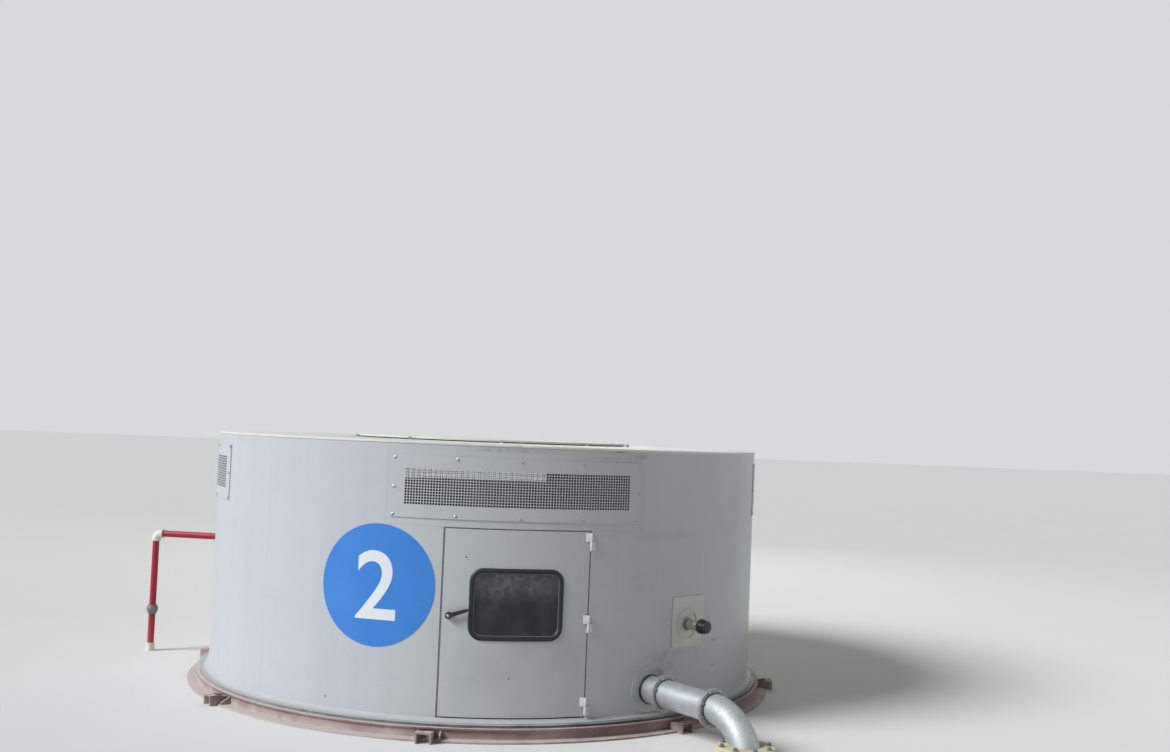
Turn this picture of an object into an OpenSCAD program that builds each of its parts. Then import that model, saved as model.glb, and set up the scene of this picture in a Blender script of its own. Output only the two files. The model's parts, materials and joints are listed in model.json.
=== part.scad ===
// Upper housing of a vertical hydroelectric generator.
// A round sheet-steel drum stands on a curb ring, with a hinged door and air grilles.
// Frame: origin on the drum's axis at floor level, +Z up, the door faces -Y.
// Angles around the drum are counted from the door towards +X.

/* [Drum] */
// Outside diameter of the drum wall
drum_d = 3000; // [2900:10:3200]
// Height of the drum from the foot ring's underside to the roof
drum_h = 1242; // [1200:1:1400]
// Thickness of the wall plate
wall_t = 6; // [5:0.5:8]
// Angle from the door to the vertical seam of each front wall panel
seam_angle = 50; // [46:1:60]
// Angle from the back to the vertical seam of each rear wall panel
rear_seam_angle = 45; // [40:1:50]
// Gap in the seams between neighbouring panels
seam_gap = 0.4; // [0.2:0.1:1]
// Clearance between curved plates that lie on each other
seat = 0.3; // [0.2:0.05:0.5]

/* [Base] */
// Thickness of the curb ring's bottom flange
flange_t = 8; // [6:1:12]
// Reach of the bottom flange beyond the drum wall
flange_reach = 105; // [95:1:130]
// Width of the bottom flange inside the drum wall
flange_in = 105; // [95:1:130]
// Height of the curb ring's top above the floor
curb_h = 56; // [52:1:70]
// Reach of the curb's top plate beyond the drum wall
curb_reach = 61; // [56:1:80]
// Thickness of the curb's top plate
curb_top_t = 8; // [6:1:10]
// Set-back of the curb's outer web under the edge of the top plate
web_back = 10; // [4:1:14]
// Thickness of the curb's two webs
web_t = 8; // [6:1:10]
// Thickness of the rubber strip under the drum
strip_t = 12; // [6:1:14]
// Reach of the rubber strip beyond the drum wall
strip_reach = 43; // [26:1:50]
// Height of the foot ring
foot_t = 18; // [12:1:24]
// Reach of the foot ring's lip beyond the drum wall
foot_lip = 24; // [14:1:30]
// Thickness of the foot ring's lip
lip_t = 4; // [3:0.5:6]
// Radius of the hollow between the wall and the lip
cove_r = 32; // [26:1:60]
// Width of the foot ring inside the drum wall
foot_in = 50; // [40:1:70]
// Diameter of the foundation bolt holes
bolt_hole_d = 22; // [18:1:26]
// Number of foundation bolt holes
bolt_count = 12; // [12:4:24]

/* [Cleats] */
// Number of cleats around the curb
cleat_count = 8; // [4:4:8]
// Clear width between a cleat's cheeks
cleat_w = 57; // [45:1:70]
// Height of a cleat's top plate above the floor
cleat_h = 50; // [42:1:54]
// Depth of a cleat's top plate
cleat_depth = 37; // [30:1:45]
// Thickness of a cleat's plates
cleat_t = 8; // [6:1:10]
// Diameter of the hole in a cleat's top plate
cleat_hole_d = 14; // [12:1:18]

/* [Roof] */
// Thickness of the roof plates
roof_t = 10; // [8:1:14]
// Reach of the roof plates beyond the drum wall
roof_reach = 3; // [0:1:12]
// Diameter of the raised round cover
cover_d = 1530; // [1300:10:1700]
// Thickness of the raised round cover
cover_t = 10; // [6:1:14]
// Overlap of the round cover on the roof plates
cover_lap = 60; // [40:1:100]
// Thickness of the seal under the round cover
seal_t = 5; // [3:0.5:8]
// Set-back of the seal from the round cover's edge
seal_back = 8; // [4:1:20]

/* [Door] */
// Width of the doorway along the wall
doorway_w = 688; // [640:1:720]
// Height of the wall between the doorway and the front grille
lintel_h = 35; // [30:1:60]
// Gap along the door's hinge side, top and bottom
door_gap = 6; // [5:0.5:8]
// Gap along the door's handle side
handle_gap = 9; // [6:0.5:12]
// Outside width of the window gasket
window_w = 434; // [380:1:450]
// Outside height of the window gasket
window_h = 327; // [280:1:360]
// Height of the window's centre above the door's bottom edge
window_z = 506; // [460:1:540]
// Width of the gasket's face
gasket_w = 23; // [20:1:30]
// Outside corner radius of the gasket
gasket_r = 62; // [50:1:75]
// Thickness of the window pane
pane_t = 4; // [3:0.5:5]

/* [Hinges] */
// Diameter of the hinge barrels
barrel_d = 14; // [13:1:18]
// Length of one hinge with both knuckles
hinge_l = 80; // [70:1:90]
// Distance from the door's top or bottom edge to the next hinge's middle
hinge_in = 46; // [45:1:80]
// Diameter of the hinge pins
pin_d = 8; // [6:0.5:9]
// Radial clearance of the hinge pins
pin_play = 0.05; // [0.02:0.01:0.09]
// Distance of the hinge axis outside the wall
axis_out = 10; // [10:0.5:14]

/* [Handle] */
// Distance of the handle's spindle from the door's edge
handle_in = 32; // [28:1:60]
// Height of the handle's spindle above the door's bottom edge
handle_z = 452; // [400:1:520]
// Length of the lever from the spindle to its tip
lever_l = 94; // [80:1:110]
// Angle of the lever above level
lever_angle = 18; // [0:1:30]
// Diameter of the spindle
spindle_d = 12; // [10:0.5:14]

/* [Grilles] */
// Angle that one grille frame covers
grille_angle = 45.6; // [44:0.1:47]
// Height of one grille frame
grille_h = 282; // [260:1:300]
// Distance from the roof down to the grille frames
grille_drop = 53; // [48:1:80]
// Thickness of the grille frames
grille_t = 4; // [3:0.5:6]
// Width of the frames' top and bottom borders
grille_border = 59; // [50:1:70]
// Angle of the frames' end borders
grille_end = 2.4; // [2:0.1:3]
// Number of holes along one grille
grille_cols = 40; // [12:1:44]
// Number of hole rows in one grille
grille_rows = 6; // [3:1:8]

/* [Nozzle] */
// Angle of the hose nozzle from the door
nozzle_angle = 35.5; // [33:0.5:40]
// Height of the nozzle above the floor
nozzle_z = 482; // [460:1:520]
// Width of the nozzle's plate
plate_w = 233; // [200:1:250]
// Height of the nozzle's plate
plate_h = 242; // [200:1:270]
// Distance from the nozzle's axis down to the plate's lower edge
plate_low = 108; // [95:1:120]
// Diameter of the raised bead around the nozzle
bead_d = 144; // [120:1:160]
// Outside diameter of the nozzle pipe
nozzle_d = 50; // [44:1:56]
// Wall of the nozzle pipe
nozzle_wall = 4; // [3:0.5:5]
// Free length of the nozzle pipe between the plate and the cap
nozzle_l = 81; // [70:1:90]
// Outside diameter of the cap's collar
cap_d = 68; // [64:1:72]
// Length of the cap's collar
collar_l = 20; // [16:1:24]
// Length of the cap beyond its collar
cap_l = 28; // [24:1:36]

/* [Air pipe] */
// Angle of the air pipe from the door
pipe_angle = 26.6; // [26:0.2:28]
// Height of the air pipe's level run above the floor
pipe_z = 192; // [186:1:200]
// Outside diameter of the air pipe
pipe_d = 129; // [114:1:133]
// Wall of the air pipe
pipe_wall = 3; // [2:0.5:5]
// Distance from the drum wall to the elbow's start
pipe_run = 450; // [420:1:500]
// Bend radius of the elbow
bend_r = 222; // [200:1:240]
// Outside diameter of the disc round the pipe on the wall
disc_d = 224; // [210:1:240]
// Outside diameter of the two flange pairs on the pipe
clamp_d = 174; // [168:1:190]
// Length of one flange pair along the pipe
clamp_l = 16; // [14:1:24]
// Distance from the drum wall to the middle of the first flange pair
clamp_x = 112; // [90:1:130]
// Distance from the elbow's start back to the middle of the second flange pair
clamp_back = 11; // [10:1:30]
// Diameter of the floor flange
floor_flange_d = 258; // [244:1:264]
// Thickness of the floor flange
floor_flange_t = 24; // [18:1:30]
// Height of the floor flange's top above the floor
floor_flange_z = 75; // [64:1:90]

/* [Water pipe] */
// Angle of the water pipe from the door
water_angle = -107; // [-110:1:-104]
// Height of the water pipe's level run above the floor
water_z = 690; // [640:1:720]
// Distance from the drum wall to the water pipe's riser
water_out = 505; // [450:1:560]
// Outside diameter of the water pipe
water_d = 38; // [34:1:40]
// Bend radius of the water pipe's elbow
water_bend = 32; // [28:1:40]
// Height of the union's lower end above the floor
union_z = 216; // [160:1:260]
// Height of the union
union_h = 52; // [40:1:60]

/* [Hidden] */
$fn = 96;
drum_r = drum_d / 2;
in_r = drum_r - wall_t;
strip_z = curb_h;
foot_z = strip_z + strip_t;
wall_z = foot_z + foot_t;
roof_z = foot_z + drum_h;
seal_z = roof_z + roof_t;
cover_z = seal_z + seal_t;
cover_r = cover_d / 2;
flange_r = drum_r + flange_reach;
flange_in_r = drum_r - flange_in;
curb_r = drum_r + curb_reach;
web_r = curb_r - web_back;
foot_in_r = drum_r - foot_in;
inner_web_r = foot_in_r + 30;
bolt_r = (flange_in_r + foot_in_r) / 2;
strip_in = 40;
top_ring_w = 44;
top_ring_t = 8;

function arc_deg(length) = length / drum_r * 180 / PI;

seam_half = arc_deg(seam_gap / 2);

grille_z1 = roof_z - grille_drop;
grille_z0 = grille_z1 - grille_h;
grille_half = grille_angle / 2;
hole_half = grille_half - grille_end;
field_z0 = grille_z0 + grille_border;
field_z1 = grille_z1 - grille_border;
over_half = grille_half + 0.8;
hole_share = 0.66;

door_a0 = -arc_deg(doorway_w / 2);
door_a1 = arc_deg(doorway_w / 2);
leaf_a0 = door_a0 + arc_deg(handle_gap);
leaf_a1 = door_a1 - arc_deg(door_gap);
leaf_z0 = wall_z + door_gap;
doorway_z1 = grille_z0 - lintel_h;
leaf_z1 = doorway_z1 - door_gap;
window_cz = leaf_z0 + window_z;
window_a = (leaf_a0 + leaf_a1) / 2;
cut_in = gasket_w / 2;

stop_t = 14;
stop_step = 7;
stop_lap = 8;
stop_reach = 30;

hinge_a = door_a1 - arc_deg(door_gap / 2);
hinge_r = drum_r + axis_out;
hinge_zs = [leaf_z0 + hinge_in, (leaf_z0 + leaf_z1) / 2, leaf_z1 - hinge_in];
knuckle_gap = 1;
knuckle_l = (hinge_l - knuckle_gap) / 2;
hinge_leaf_w = 24;
pin_end = 6;

handle_a = leaf_a0 + arc_deg(handle_in);
handle_cz = leaf_z0 + handle_z;
rose_d = 32;
rose_t = 12;
lever_gap = 1;
lever_t = 11;
hub_d = 28;
lever_w0 = 20;
lever_w1 = 15;
bush_d = spindle_d + 10;
nut_d = 24;
nut_t = 6;

plate_t = 4;
bead_w = 9;
bead_h = 4;
neck_w = 7;
plate_a = nozzle_angle + 0.4;
cap_x = plate_t + nozzle_l;
cap_end_d = cap_d - 6;
cap_round = 8;

pipe_r = pipe_d / 2;
disc_t = 4;
clamp_gap = 2;
clamp_step = 14;
elbow_turn = acos(1 - (pipe_z - floor_flange_z) / bend_r);
foot_shift = 10;
leg_x = drum_r + pipe_run + bend_r * sin(elbow_turn) + foot_shift;

riser_x = drum_r + water_out;
socket_h = 46;
socket_d = water_d + 16;
elbow_d = water_d + 8;
union_d = water_d + 26;

// Piece of a ring between two radii, two heights and two angles from the door
module sector(r0, r1, z0, z1, a0, a1) {
  rotate([0, 0, a0 - 90])
    rotate_extrude(angle = a1 - a0, $fn = 360)
      translate([r0, z0])
        square([r1 - r0, z1 - z0]);
}

// Full ring between two radii and two heights
module ring(r0, r1, z0, z1) {
  rotate_extrude($fn = 360)
    translate([r0, z0])
      square([r1 - r0, z1 - z0]);
}

// Turns a child modelled at the door's centre line to an angle on the drum
module at_angle(a) {
  rotate([0, 0, a])
    children();
}

// Round bar along a radius of the drum, modelled towards -Y
module radial_bar(d, r0, r1, z, fn = 64) {
  translate([0, -r0, z])
    rotate([90, 0, 0])
      cylinder(h = r1 - r0, d = d, $fn = fn);
}

// Turned piece on a radius of the drum, its outline drawn outward from a radius
module radial_turned(r0, z, fn = 64) {
  translate([0, -r0, z])
    rotate([90, 0, 0])
      rotate_extrude($fn = fn)
        children();
}

module rounded_rect(w, h, r) {
  square([w - 2 * r, h], center = true);
  square([w, h - 2 * r], center = true);
  for (x = [-1, 1], z = [-1, 1])
    translate([x * (w / 2 - r), z * (h / 2 - r)])
      circle(r = r, $fn = 64);
}

// Window outline, set back from the gasket's outside, as a prism through the door
module window_prism(inset) {
  at_angle(window_a)
    translate([0, 0, window_cz])
      rotate([90, 0, 0])
        translate([0, 0, drum_r - 80])
          linear_extrude(160)
            rounded_rect(window_w - 2 * inset, window_h - 2 * inset, gasket_r - inset);
}

// Layer of the window gasket between two radii and two insets
module gasket_layer(r0, r1, inset0, inset1) {
  intersection() {
    sector(r0, r1, leaf_z0, leaf_z1, leaf_a0, leaf_a1);
    difference() {
      window_prism(inset0);
      window_prism(inset1);
    }
  }
}

// Half of the curb ring: bottom flange, two webs and the top plate with its lip
module base_ring(a0) {
  plate_z = curb_h - curb_top_t;
  color("rosybrown")
    difference() {
      rotate([0, 0, a0 - 90 + seam_half])
        rotate_extrude(angle = 180 - 2 * seam_half, $fn = 360)
          polygon([
            [flange_in_r, 0], [flange_r, 0], [flange_r, flange_t], [web_r, flange_t],
            [web_r, plate_z], [curb_r, plate_z], [curb_r, curb_h],
            [foot_in_r, curb_h], [foot_in_r, plate_z], [inner_web_r, plate_z],
            [inner_web_r, flange_t], [flange_in_r, flange_t]]);
      sector(inner_web_r + web_t, web_r - web_t, flange_t, plate_z, a0 - 1, a0 + 181);
      for (i = [0:bolt_count - 1])
        at_angle((i + 0.5) * 360 / bolt_count)
          translate([0, -bolt_r, -1])
            cylinder(h = flange_t + 2, d = bolt_hole_d, $fn = 48);
    }
}

module base_ring_front() base_ring(-90);

module base_ring_back() base_ring(90);

// One cheek of a cleat: it rests on the flange, reaches over its edge and stands on the floor
module cleat_cheek() {
  rotate([90, 0, -90])
    linear_extrude(cleat_t)
      polygon([
        [web_r + seat, flange_t], [web_r + seat, cleat_h - 12], [flange_r, cleat_h],
        [flange_r + cleat_depth, cleat_h], [flange_r + cleat_depth, 0],
        [flange_r + seat, 0], [flange_r + seat, flange_t]]);
}

// Bridge-shaped cleats around the curb, each with a bolt hole in its top plate
module curb_cleats() {
  color("rosybrown")
    for (i = [0:cleat_count - 1])
      at_angle(-14 + i * 360 / cleat_count)
        difference() {
          union() {
            translate([-cleat_w / 2, 0, 0])
              cleat_cheek();
            translate([cleat_w / 2 + cleat_t, 0, 0])
              cleat_cheek();
            translate([-cleat_w / 2 - 1, -flange_r - cleat_depth, cleat_h - cleat_t])
              cube([cleat_w + 2, cleat_depth, cleat_t]);
          }
          translate([0, -flange_r - cleat_depth / 2, 0])
            cylinder(h = cleat_h + 10, d = cleat_hole_d, $fn = 32);
        }
}

module rubber_strip() {
  color("dimgray")
    ring(drum_r - strip_in, drum_r + strip_reach, strip_z, foot_z);
}

// Foot ring with a thin lip that runs up to the wall in a hollow curve
module foot_ring() {
  rise = foot_t - lip_t;
  half = sqrt(foot_lip * foot_lip + rise * rise) / 2;
  back = sqrt(cove_r * cove_r - half * half);
  color("lightgray")
    rotate_extrude($fn = 360)
      difference() {
        polygon([
          [foot_in_r, foot_z], [drum_r + foot_lip, foot_z], [drum_r + foot_lip, foot_z + lip_t],
          [drum_r, wall_z], [foot_in_r, wall_z]]);
        translate([
          drum_r + foot_lip / 2 + back * rise / (2 * half),
          foot_z + lip_t + rise / 2 + back * foot_lip / (2 * half)])
          circle(r = cove_r, $fn = 96);
      }
}

// Wall panel of full height between two seams
module wall_plate(a0, a1) {
  sector(in_r, drum_r, wall_z, roof_z, a0, a1);
}

// Opening in the wall behind one grille
module grille_opening(a) {
  sector(in_r - 20, drum_r + 20, field_z0 - 6, field_z1 + 6, a - hole_half - 0.2, a + hole_half + 0.2);
}

// Space that the panel over the door takes, with its seam
module over_door_space(a0, a1) {
  sector(in_r - 20, drum_r + 20, doorway_z1 - seam_gap, roof_z + 1, a0, a1);
}

module wall_over_door() {
  color("gainsboro")
    difference() {
      sector(in_r, drum_r, doorway_z1, roof_z, -over_half, over_half);
      grille_opening(0);
    }
}

module wall_front_right() {
  color("gainsboro")
    difference() {
      wall_plate(door_a1, seam_angle - seam_half);
      over_door_space(door_a1 - 1, over_half + 2 * seam_half);
      at_angle(nozzle_angle)
        radial_bar(nozzle_d + 2 * seat, in_r - 30, drum_r + 30, nozzle_z);
      at_angle(pipe_angle)
        radial_bar(pipe_d + 2 * seat, in_r - 30, drum_r + 30, pipe_z);
    }
}

module wall_front_left() {
  color("gainsboro")
    difference() {
      wall_plate(-seam_angle + seam_half, door_a0);
      over_door_space(-over_half - 2 * seam_half, door_a0 + 1);
    }
}

module wall_right() {
  color("gainsboro")
    difference() {
      wall_plate(seam_angle + seam_half, 180 - rear_seam_angle - seam_half);
      grille_opening(90);
    }
}

module wall_back() {
  color("gainsboro")
    difference() {
      wall_plate(180 - rear_seam_angle + seam_half, 180 + rear_seam_angle - seam_half);
      grille_opening(180);
    }
}

module wall_left() {
  color("gainsboro")
    difference() {
      wall_plate(180 + rear_seam_angle + seam_half, 360 - seam_angle - seam_half);
      grille_opening(270);
      at_angle(water_angle)
        radial_bar(water_d + 2 * seat, in_r - 30, drum_r + 30, water_z);
    }
}

module top_ring() {
  color("gainsboro")
    ring(in_r - top_ring_w, in_r - seat, roof_z - top_ring_t, roof_z);
}

// Quarter of the roof around the opening under the round cover
module roof_plate(a0) {
  color("ivory")
    sector(cover_r - cover_lap, drum_r + roof_reach, roof_z, seal_z, a0 + seam_half, a0 + 90 - seam_half);
}

module roof_front_right() roof_plate(0);

module roof_back_right() roof_plate(90);

module roof_back_left() roof_plate(180);

module roof_front_left() roof_plate(270);

module roof_seal() {
  color("dimgray")
    ring(cover_r - cover_lap, cover_r - seal_back, seal_z, cover_z);
}

module roof_cover() {
  color("ivory")
    translate([0, 0, cover_z])
      cylinder(h = cover_t, r = cover_r, $fn = 360);
}

// Grille frame with its field of square holes
module grille(a) {
  pitch_a = 2 * hole_half / grille_cols;
  pitch_w = pitch_a * drum_r * PI / 180;
  pitch_z = (field_z1 - field_z0) / grille_rows;
  rim = (1 - hole_share) / 2;
  color("silver")
    difference() {
      sector(drum_r + seat, drum_r + seat + grille_t, grille_z0, grille_z1, a - grille_half, a + grille_half);
      for (i = [0:grille_cols - 1])
        at_angle(a - hole_half + (i + 0.5) * pitch_a)
          for (j = [0:grille_rows - 1])
            translate([-pitch_w * hole_share / 2, -drum_r - 20, field_z0 + (j + rim) * pitch_z])
              cube([pitch_w * hole_share, 40, pitch_z * hole_share]);
    }
}

module grille_front() grille(0);

module grille_right() grille(90);

module grille_back() grille(180);

module grille_left() grille(270);

// Frame behind the doorway that the closed door faces
module door_stop() {
  face_r = in_r - seat;
  lap_a = arc_deg(stop_lap);
  reach_a = arc_deg(stop_reach);
  color("gray")
    difference() {
      sector(face_r - stop_t, face_r, wall_z, doorway_z1 + stop_reach, door_a0 - reach_a, door_a1 + reach_a);
      sector(face_r - stop_step, face_r + 1, wall_z - 1, doorway_z1, door_a0, door_a1);
      sector(face_r - 20, face_r + 1, wall_z - 1, leaf_z1 - stop_lap, leaf_a0 + lap_a, leaf_a1 - lap_a);
    }
}

// One knuckle of a hinge with the leaf that is welded to the wall's face
module knuckle(z, side) {
  translate([0, 0, z])
    linear_extrude(knuckle_l)
      union() {
        translate([0, -hinge_r])
          circle(d = barrel_d, $fn = 48);
        polygon([
          [0, -hinge_r - barrel_d / 3], [side * barrel_d / 2, -hinge_r - barrel_d / 5],
          [side * hinge_leaf_w, -drum_r - 3], [side * hinge_leaf_w, -drum_r + 2],
          [side * 4, -drum_r + 2], [side * 1, -hinge_r]]);
      }
}

module frame_knuckles() {
  color("silver")
    at_angle(hinge_a)
      for (z = hinge_zs) {
        difference() {
          knuckle(z - hinge_l / 2, 1);
          cylinder(h = roof_z, r = drum_r, $fn = 360);
        }
        translate([0, -hinge_r, z - hinge_l / 2 + 2])
          cylinder(h = hinge_l - 2 - pin_end, d = pin_d, $fn = 48);
      }
}

module door_knuckles() {
  color("silver")
    at_angle(hinge_a)
      for (z = hinge_zs)
        difference() {
          knuckle(z + knuckle_gap / 2, -1);
          cylinder(h = roof_z, r = drum_r, $fn = 360);
          translate([0, -hinge_r, z - 1])
            cylinder(h = hinge_l / 2 - pin_end + 2, r = pin_d / 2 + pin_play, $fn = 48);
        }
}

module door_panel() {
  color("gainsboro")
    difference() {
      sector(in_r, drum_r, leaf_z0, leaf_z1, leaf_a0, leaf_a1);
      window_prism(cut_in);
      at_angle(handle_a)
        radial_bar(bush_d + 2 * seat, in_r - 30, drum_r + 30, handle_cz);
    }
}

// Rubber gasket that grips the door plate outside and the pane inside
module window_gasket() {
  color("black")
    union() {
      gasket_layer(drum_r + seat, drum_r + 8, 0, gasket_w);
      gasket_layer(in_r - 2, drum_r + 2, cut_in + seat, cut_in + 2);
      gasket_layer(in_r - 6, in_r - seat, 0, gasket_w);
    }
}

module window_pane() {
  color("darkslategray", 0.5)
    intersection() {
      sector(drum_r - 1 - pane_t, drum_r - 1, leaf_z0, leaf_z1, leaf_a0, leaf_a1);
      window_prism(cut_in + 2 + seat);
    }
}

module handle_base() {
  color("black")
    at_angle(handle_a)
      difference() {
        union() {
          difference() {
            radial_bar(rose_d, drum_r - 10, drum_r + rose_t, handle_cz);
            rotate([0, 0, -handle_a])
              cylinder(h = roof_z, r = drum_r + seat, $fn = 360);
          }
          radial_bar(bush_d, in_r - 2, drum_r + 2, handle_cz);
        }
        radial_bar(spindle_d + 2 * pin_play, in_r - 30, drum_r + 30, handle_cz);
      }
}

// Lever, spindle and inner nut, turning as one piece
module handle_lever() {
  r0 = drum_r + rose_t + lever_gap;
  tip = lever_l - lever_w1 / 2;
  color("black")
    at_angle(handle_a) {
      radial_bar(spindle_d, in_r - 10, r0 + lever_t + 1, handle_cz);
      radial_bar(nut_d, in_r - 3 - nut_t, in_r - 3, handle_cz);
      translate([0, -r0, handle_cz])
        rotate([90, 0, 0])
          linear_extrude(lever_t)
            union() {
              circle(d = hub_d);
              rotate(lever_angle) {
                polygon([[0, -lever_w0 / 2], [tip, -lever_w1 / 2], [tip, lever_w1 / 2], [0, lever_w0 / 2]]);
                translate([tip, 0])
                  circle(d = lever_w1, $fn = 32);
              }
            }
    }
}

// Plate on the wall with a round bead and a dark neck at the pipe's foot
module nozzle_plate() {
  half = arc_deg(plate_w / 2);
  z0 = nozzle_z - plate_low;
  r0 = drum_r + seat;
  color("gainsboro")
    difference() {
      union() {
        sector(r0, r0 + plate_t, z0, z0 + plate_h, plate_a - half, plate_a + half);
        difference() {
          at_angle(nozzle_angle)
            radial_turned(drum_r - 4, nozzle_z)
              translate([bead_d / 2 - bead_w / 2, 0])
                square([bead_w, 4 + plate_t + bead_h]);
          cylinder(h = roof_z, r = r0 + plate_t / 2, $fn = 360);
        }
      }
      at_angle(nozzle_angle)
        radial_bar(nozzle_d + 2 * seat, in_r - 30, drum_r + 30, nozzle_z);
    }
}

module nozzle_pipe() {
  r1 = drum_r + cap_x + collar_l / 2;
  color("silver")
    at_angle(nozzle_angle)
      difference() {
        union() {
          radial_bar(nozzle_d, in_r - 10, r1, nozzle_z);
          radial_bar(nozzle_d + 2 * neck_w, drum_r + plate_t + 3, drum_r + plate_t + 9, nozzle_z);
        }
        radial_bar(nozzle_d - 2 * nozzle_wall, in_r - 30, r1 + 20, nozzle_z);
      }
}

// Cap with a lugged collar over the pipe and a grooved end
module nozzle_cap() {
  r0 = drum_r + cap_x;
  end_r = cap_end_d / 2;
  color("black")
    at_angle(nozzle_angle)
      difference() {
        union() {
          radial_bar(cap_d, r0, r0 + collar_l, nozzle_z);
          for (side = [-1, 1])
            translate([side * cap_d / 2 - 6, -r0 - collar_l + 4, nozzle_z - 9])
              cube([12, collar_l - 8, 18]);
          radial_turned(r0 + collar_l - 1, nozzle_z)
            difference() {
              union() {
                square([end_r - cap_round, cap_l + 1]);
                square([end_r, cap_l + 1 - cap_round]);
                translate([end_r - cap_round, cap_l + 1 - cap_round])
                  intersection() {
                    circle(r = cap_round, $fn = 48);
                    square(cap_round);
                  }
              }
              for (k = [0:1])
                translate([end_r - 2, 6 + k * 7])
                  square([4, 3]);
            }
        }
        radial_bar(nozzle_d + 2 * seat, r0 - 10, r0 + collar_l / 2 + seat, nozzle_z);
      }
}

// Flat disc on the wall round the air pipe
module air_pipe_collar() {
  color("gainsboro")
    difference() {
      intersection() {
        sector(drum_r + seat, drum_r + seat + disc_t, wall_z + 2, roof_z, pipe_angle - 10, pipe_angle + 10);
        at_angle(pipe_angle)
          radial_bar(disc_d, in_r, drum_r + 60, pipe_z);
      }
      at_angle(pipe_angle)
        radial_bar(pipe_d + 2 * seat, in_r - 30, drum_r + 60, pipe_z);
    }
}

module air_pipe() {
  color("silver")
    at_angle(pipe_angle)
      difference() {
        radial_bar(pipe_d, in_r - 10, drum_r + pipe_run, pipe_z);
        radial_bar(pipe_d - 2 * pipe_wall, in_r - 30, drum_r + pipe_run + 30, pipe_z);
      }
}

// Two pairs of flanges on the air pipe, each with a gasket between its halves
module clamp_rings() {
  half = clamp_l / 2;
  color("dimgray")
    at_angle(pipe_angle)
      for (x = [clamp_x, pipe_run - clamp_back])
        radial_turned(drum_r + x, pipe_z)
          polygon([
            [pipe_r + seat, -half], [clamp_d / 2 - 2, -half], [clamp_d / 2, -half + 2],
            [clamp_d / 2, -clamp_gap / 2], [clamp_d / 2 - clamp_step, -clamp_gap / 2],
            [clamp_d / 2 - clamp_step, clamp_gap / 2], [clamp_d / 2, clamp_gap / 2],
            [clamp_d / 2, half - 2], [clamp_d / 2 - 2, half], [pipe_r + seat, half]]);
}

// Bend that comes down at a slant and is cut off level on the floor flange
module air_elbow() {
  color("silver")
    at_angle(pipe_angle)
      difference() {
        translate([0, -drum_r - pipe_run, pipe_z - bend_r])
          rotate([90, 0, -90])
            rotate_extrude(angle = 90)
              translate([bend_r, 0])
                difference() {
                  circle(d = pipe_d);
                  circle(d = pipe_d - 2 * pipe_wall);
                }
        translate([-pipe_d, -drum_r - pipe_run - bend_r - pipe_d, -50])
          cube([2 * pipe_d, bend_r + 2 * pipe_d, floor_flange_z + 50]);
      }
}

// Pair of flanges on a short stub that comes up from the floor
module floor_flange() {
  rim = floor_flange_d / 2;
  z0 = floor_flange_z - floor_flange_t;
  mid = z0 + floor_flange_t / 2;
  color("palegoldenrod")
    at_angle(pipe_angle)
      translate([0, -leg_x, 0])
        rotate_extrude($fn = 96)
          polygon([
            [pipe_r - pipe_wall, 0], [pipe_r, 0], [pipe_r, z0], [rim - 2, z0], [rim, z0 + 2],
            [rim, mid - 1], [rim - 5, mid - 1], [rim - 5, mid + 1], [rim, mid + 1],
            [rim, floor_flange_z - 2], [rim - 2, floor_flange_z], [pipe_r - pipe_wall, floor_flange_z]]);
}

module water_riser() {
  color("firebrick")
    at_angle(water_angle)
      translate([0, -riser_x, 0])
        cylinder(h = water_z - water_bend, d = water_d, $fn = 48);
}

module water_run() {
  color("firebrick")
    at_angle(water_angle)
      radial_bar(water_d, in_r - 20, riser_x - water_bend, water_z, 48);
}

// White elbow at the top of the riser and white socket at its foot
module water_fittings() {
  color("white")
    at_angle(water_angle)
      translate([0, -riser_x, 0]) {
        difference() {
          cylinder(h = socket_h, d1 = socket_d, d2 = water_d + 6, $fn = 48);
          translate([0, 0, -1])
            cylinder(h = socket_h + 2, d = water_d + 2 * seat, $fn = 48);
        }
        translate([0, water_bend, water_z - water_bend])
          rotate([90, 0, -90])
            rotate_extrude(angle = 90)
              translate([water_bend, 0])
                circle(d = elbow_d);
      }
}

// Screwed union on the riser
module water_union() {
  color("dimgray")
    at_angle(water_angle)
      translate([0, -riser_x, union_z])
        rotate_extrude($fn = 48)
          polygon([
            [water_d / 2 + seat, 0], [union_d / 2 - 7, 0], [union_d / 2 - 7, union_h * 0.3],
            [union_d / 2, union_h * 0.3], [union_d / 2, union_h * 0.75], [union_d / 2 - 5, union_h * 0.75],
            [union_d / 2 - 5, union_h], [water_d / 2 + seat, union_h]]);
}

base_ring_front();
base_ring_back();
curb_cleats();
rubber_strip();
foot_ring();
wall_over_door();
wall_front_right();
wall_front_left();
wall_right();
wall_back();
wall_left();
top_ring();
roof_front_right();
roof_back_right();
roof_back_left();
roof_front_left();
roof_seal();
roof_cover();
grille_front();
grille_right();
grille_back();
grille_left();
door_stop();
frame_knuckles();
door_panel();
door_knuckles();
window_gasket();
window_pane();
handle_base();
handle_lever();
nozzle_plate();
nozzle_pipe();
nozzle_cap();
air_pipe_collar();
air_pipe();
clamp_rings();
air_elbow();
floor_flange();
water_riser();
water_run();
water_fittings();
water_union();
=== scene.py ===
"""Looks of the upper housing of a vertical hydroelectric generator.

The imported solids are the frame. This script gives them their finishes, eases their corners and
adds what is too fine for the solids, such as the perforated grilles, screws, bolts, welds and the
round number plate. Lengths are in metres. The origin is on the drum's axis at floor level, +Z is
up, the door faces -Y, and angles are in degrees, counted from the door towards +X.
"""

from __future__ import annotations

import json
import logging
import math
from contextlib import contextmanager
from dataclasses import dataclass
from enum import Enum
from typing import Callable, Iterable, Iterator, Protocol, Sequence

import bmesh
import bpy
from mathutils import Matrix, Vector

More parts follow.
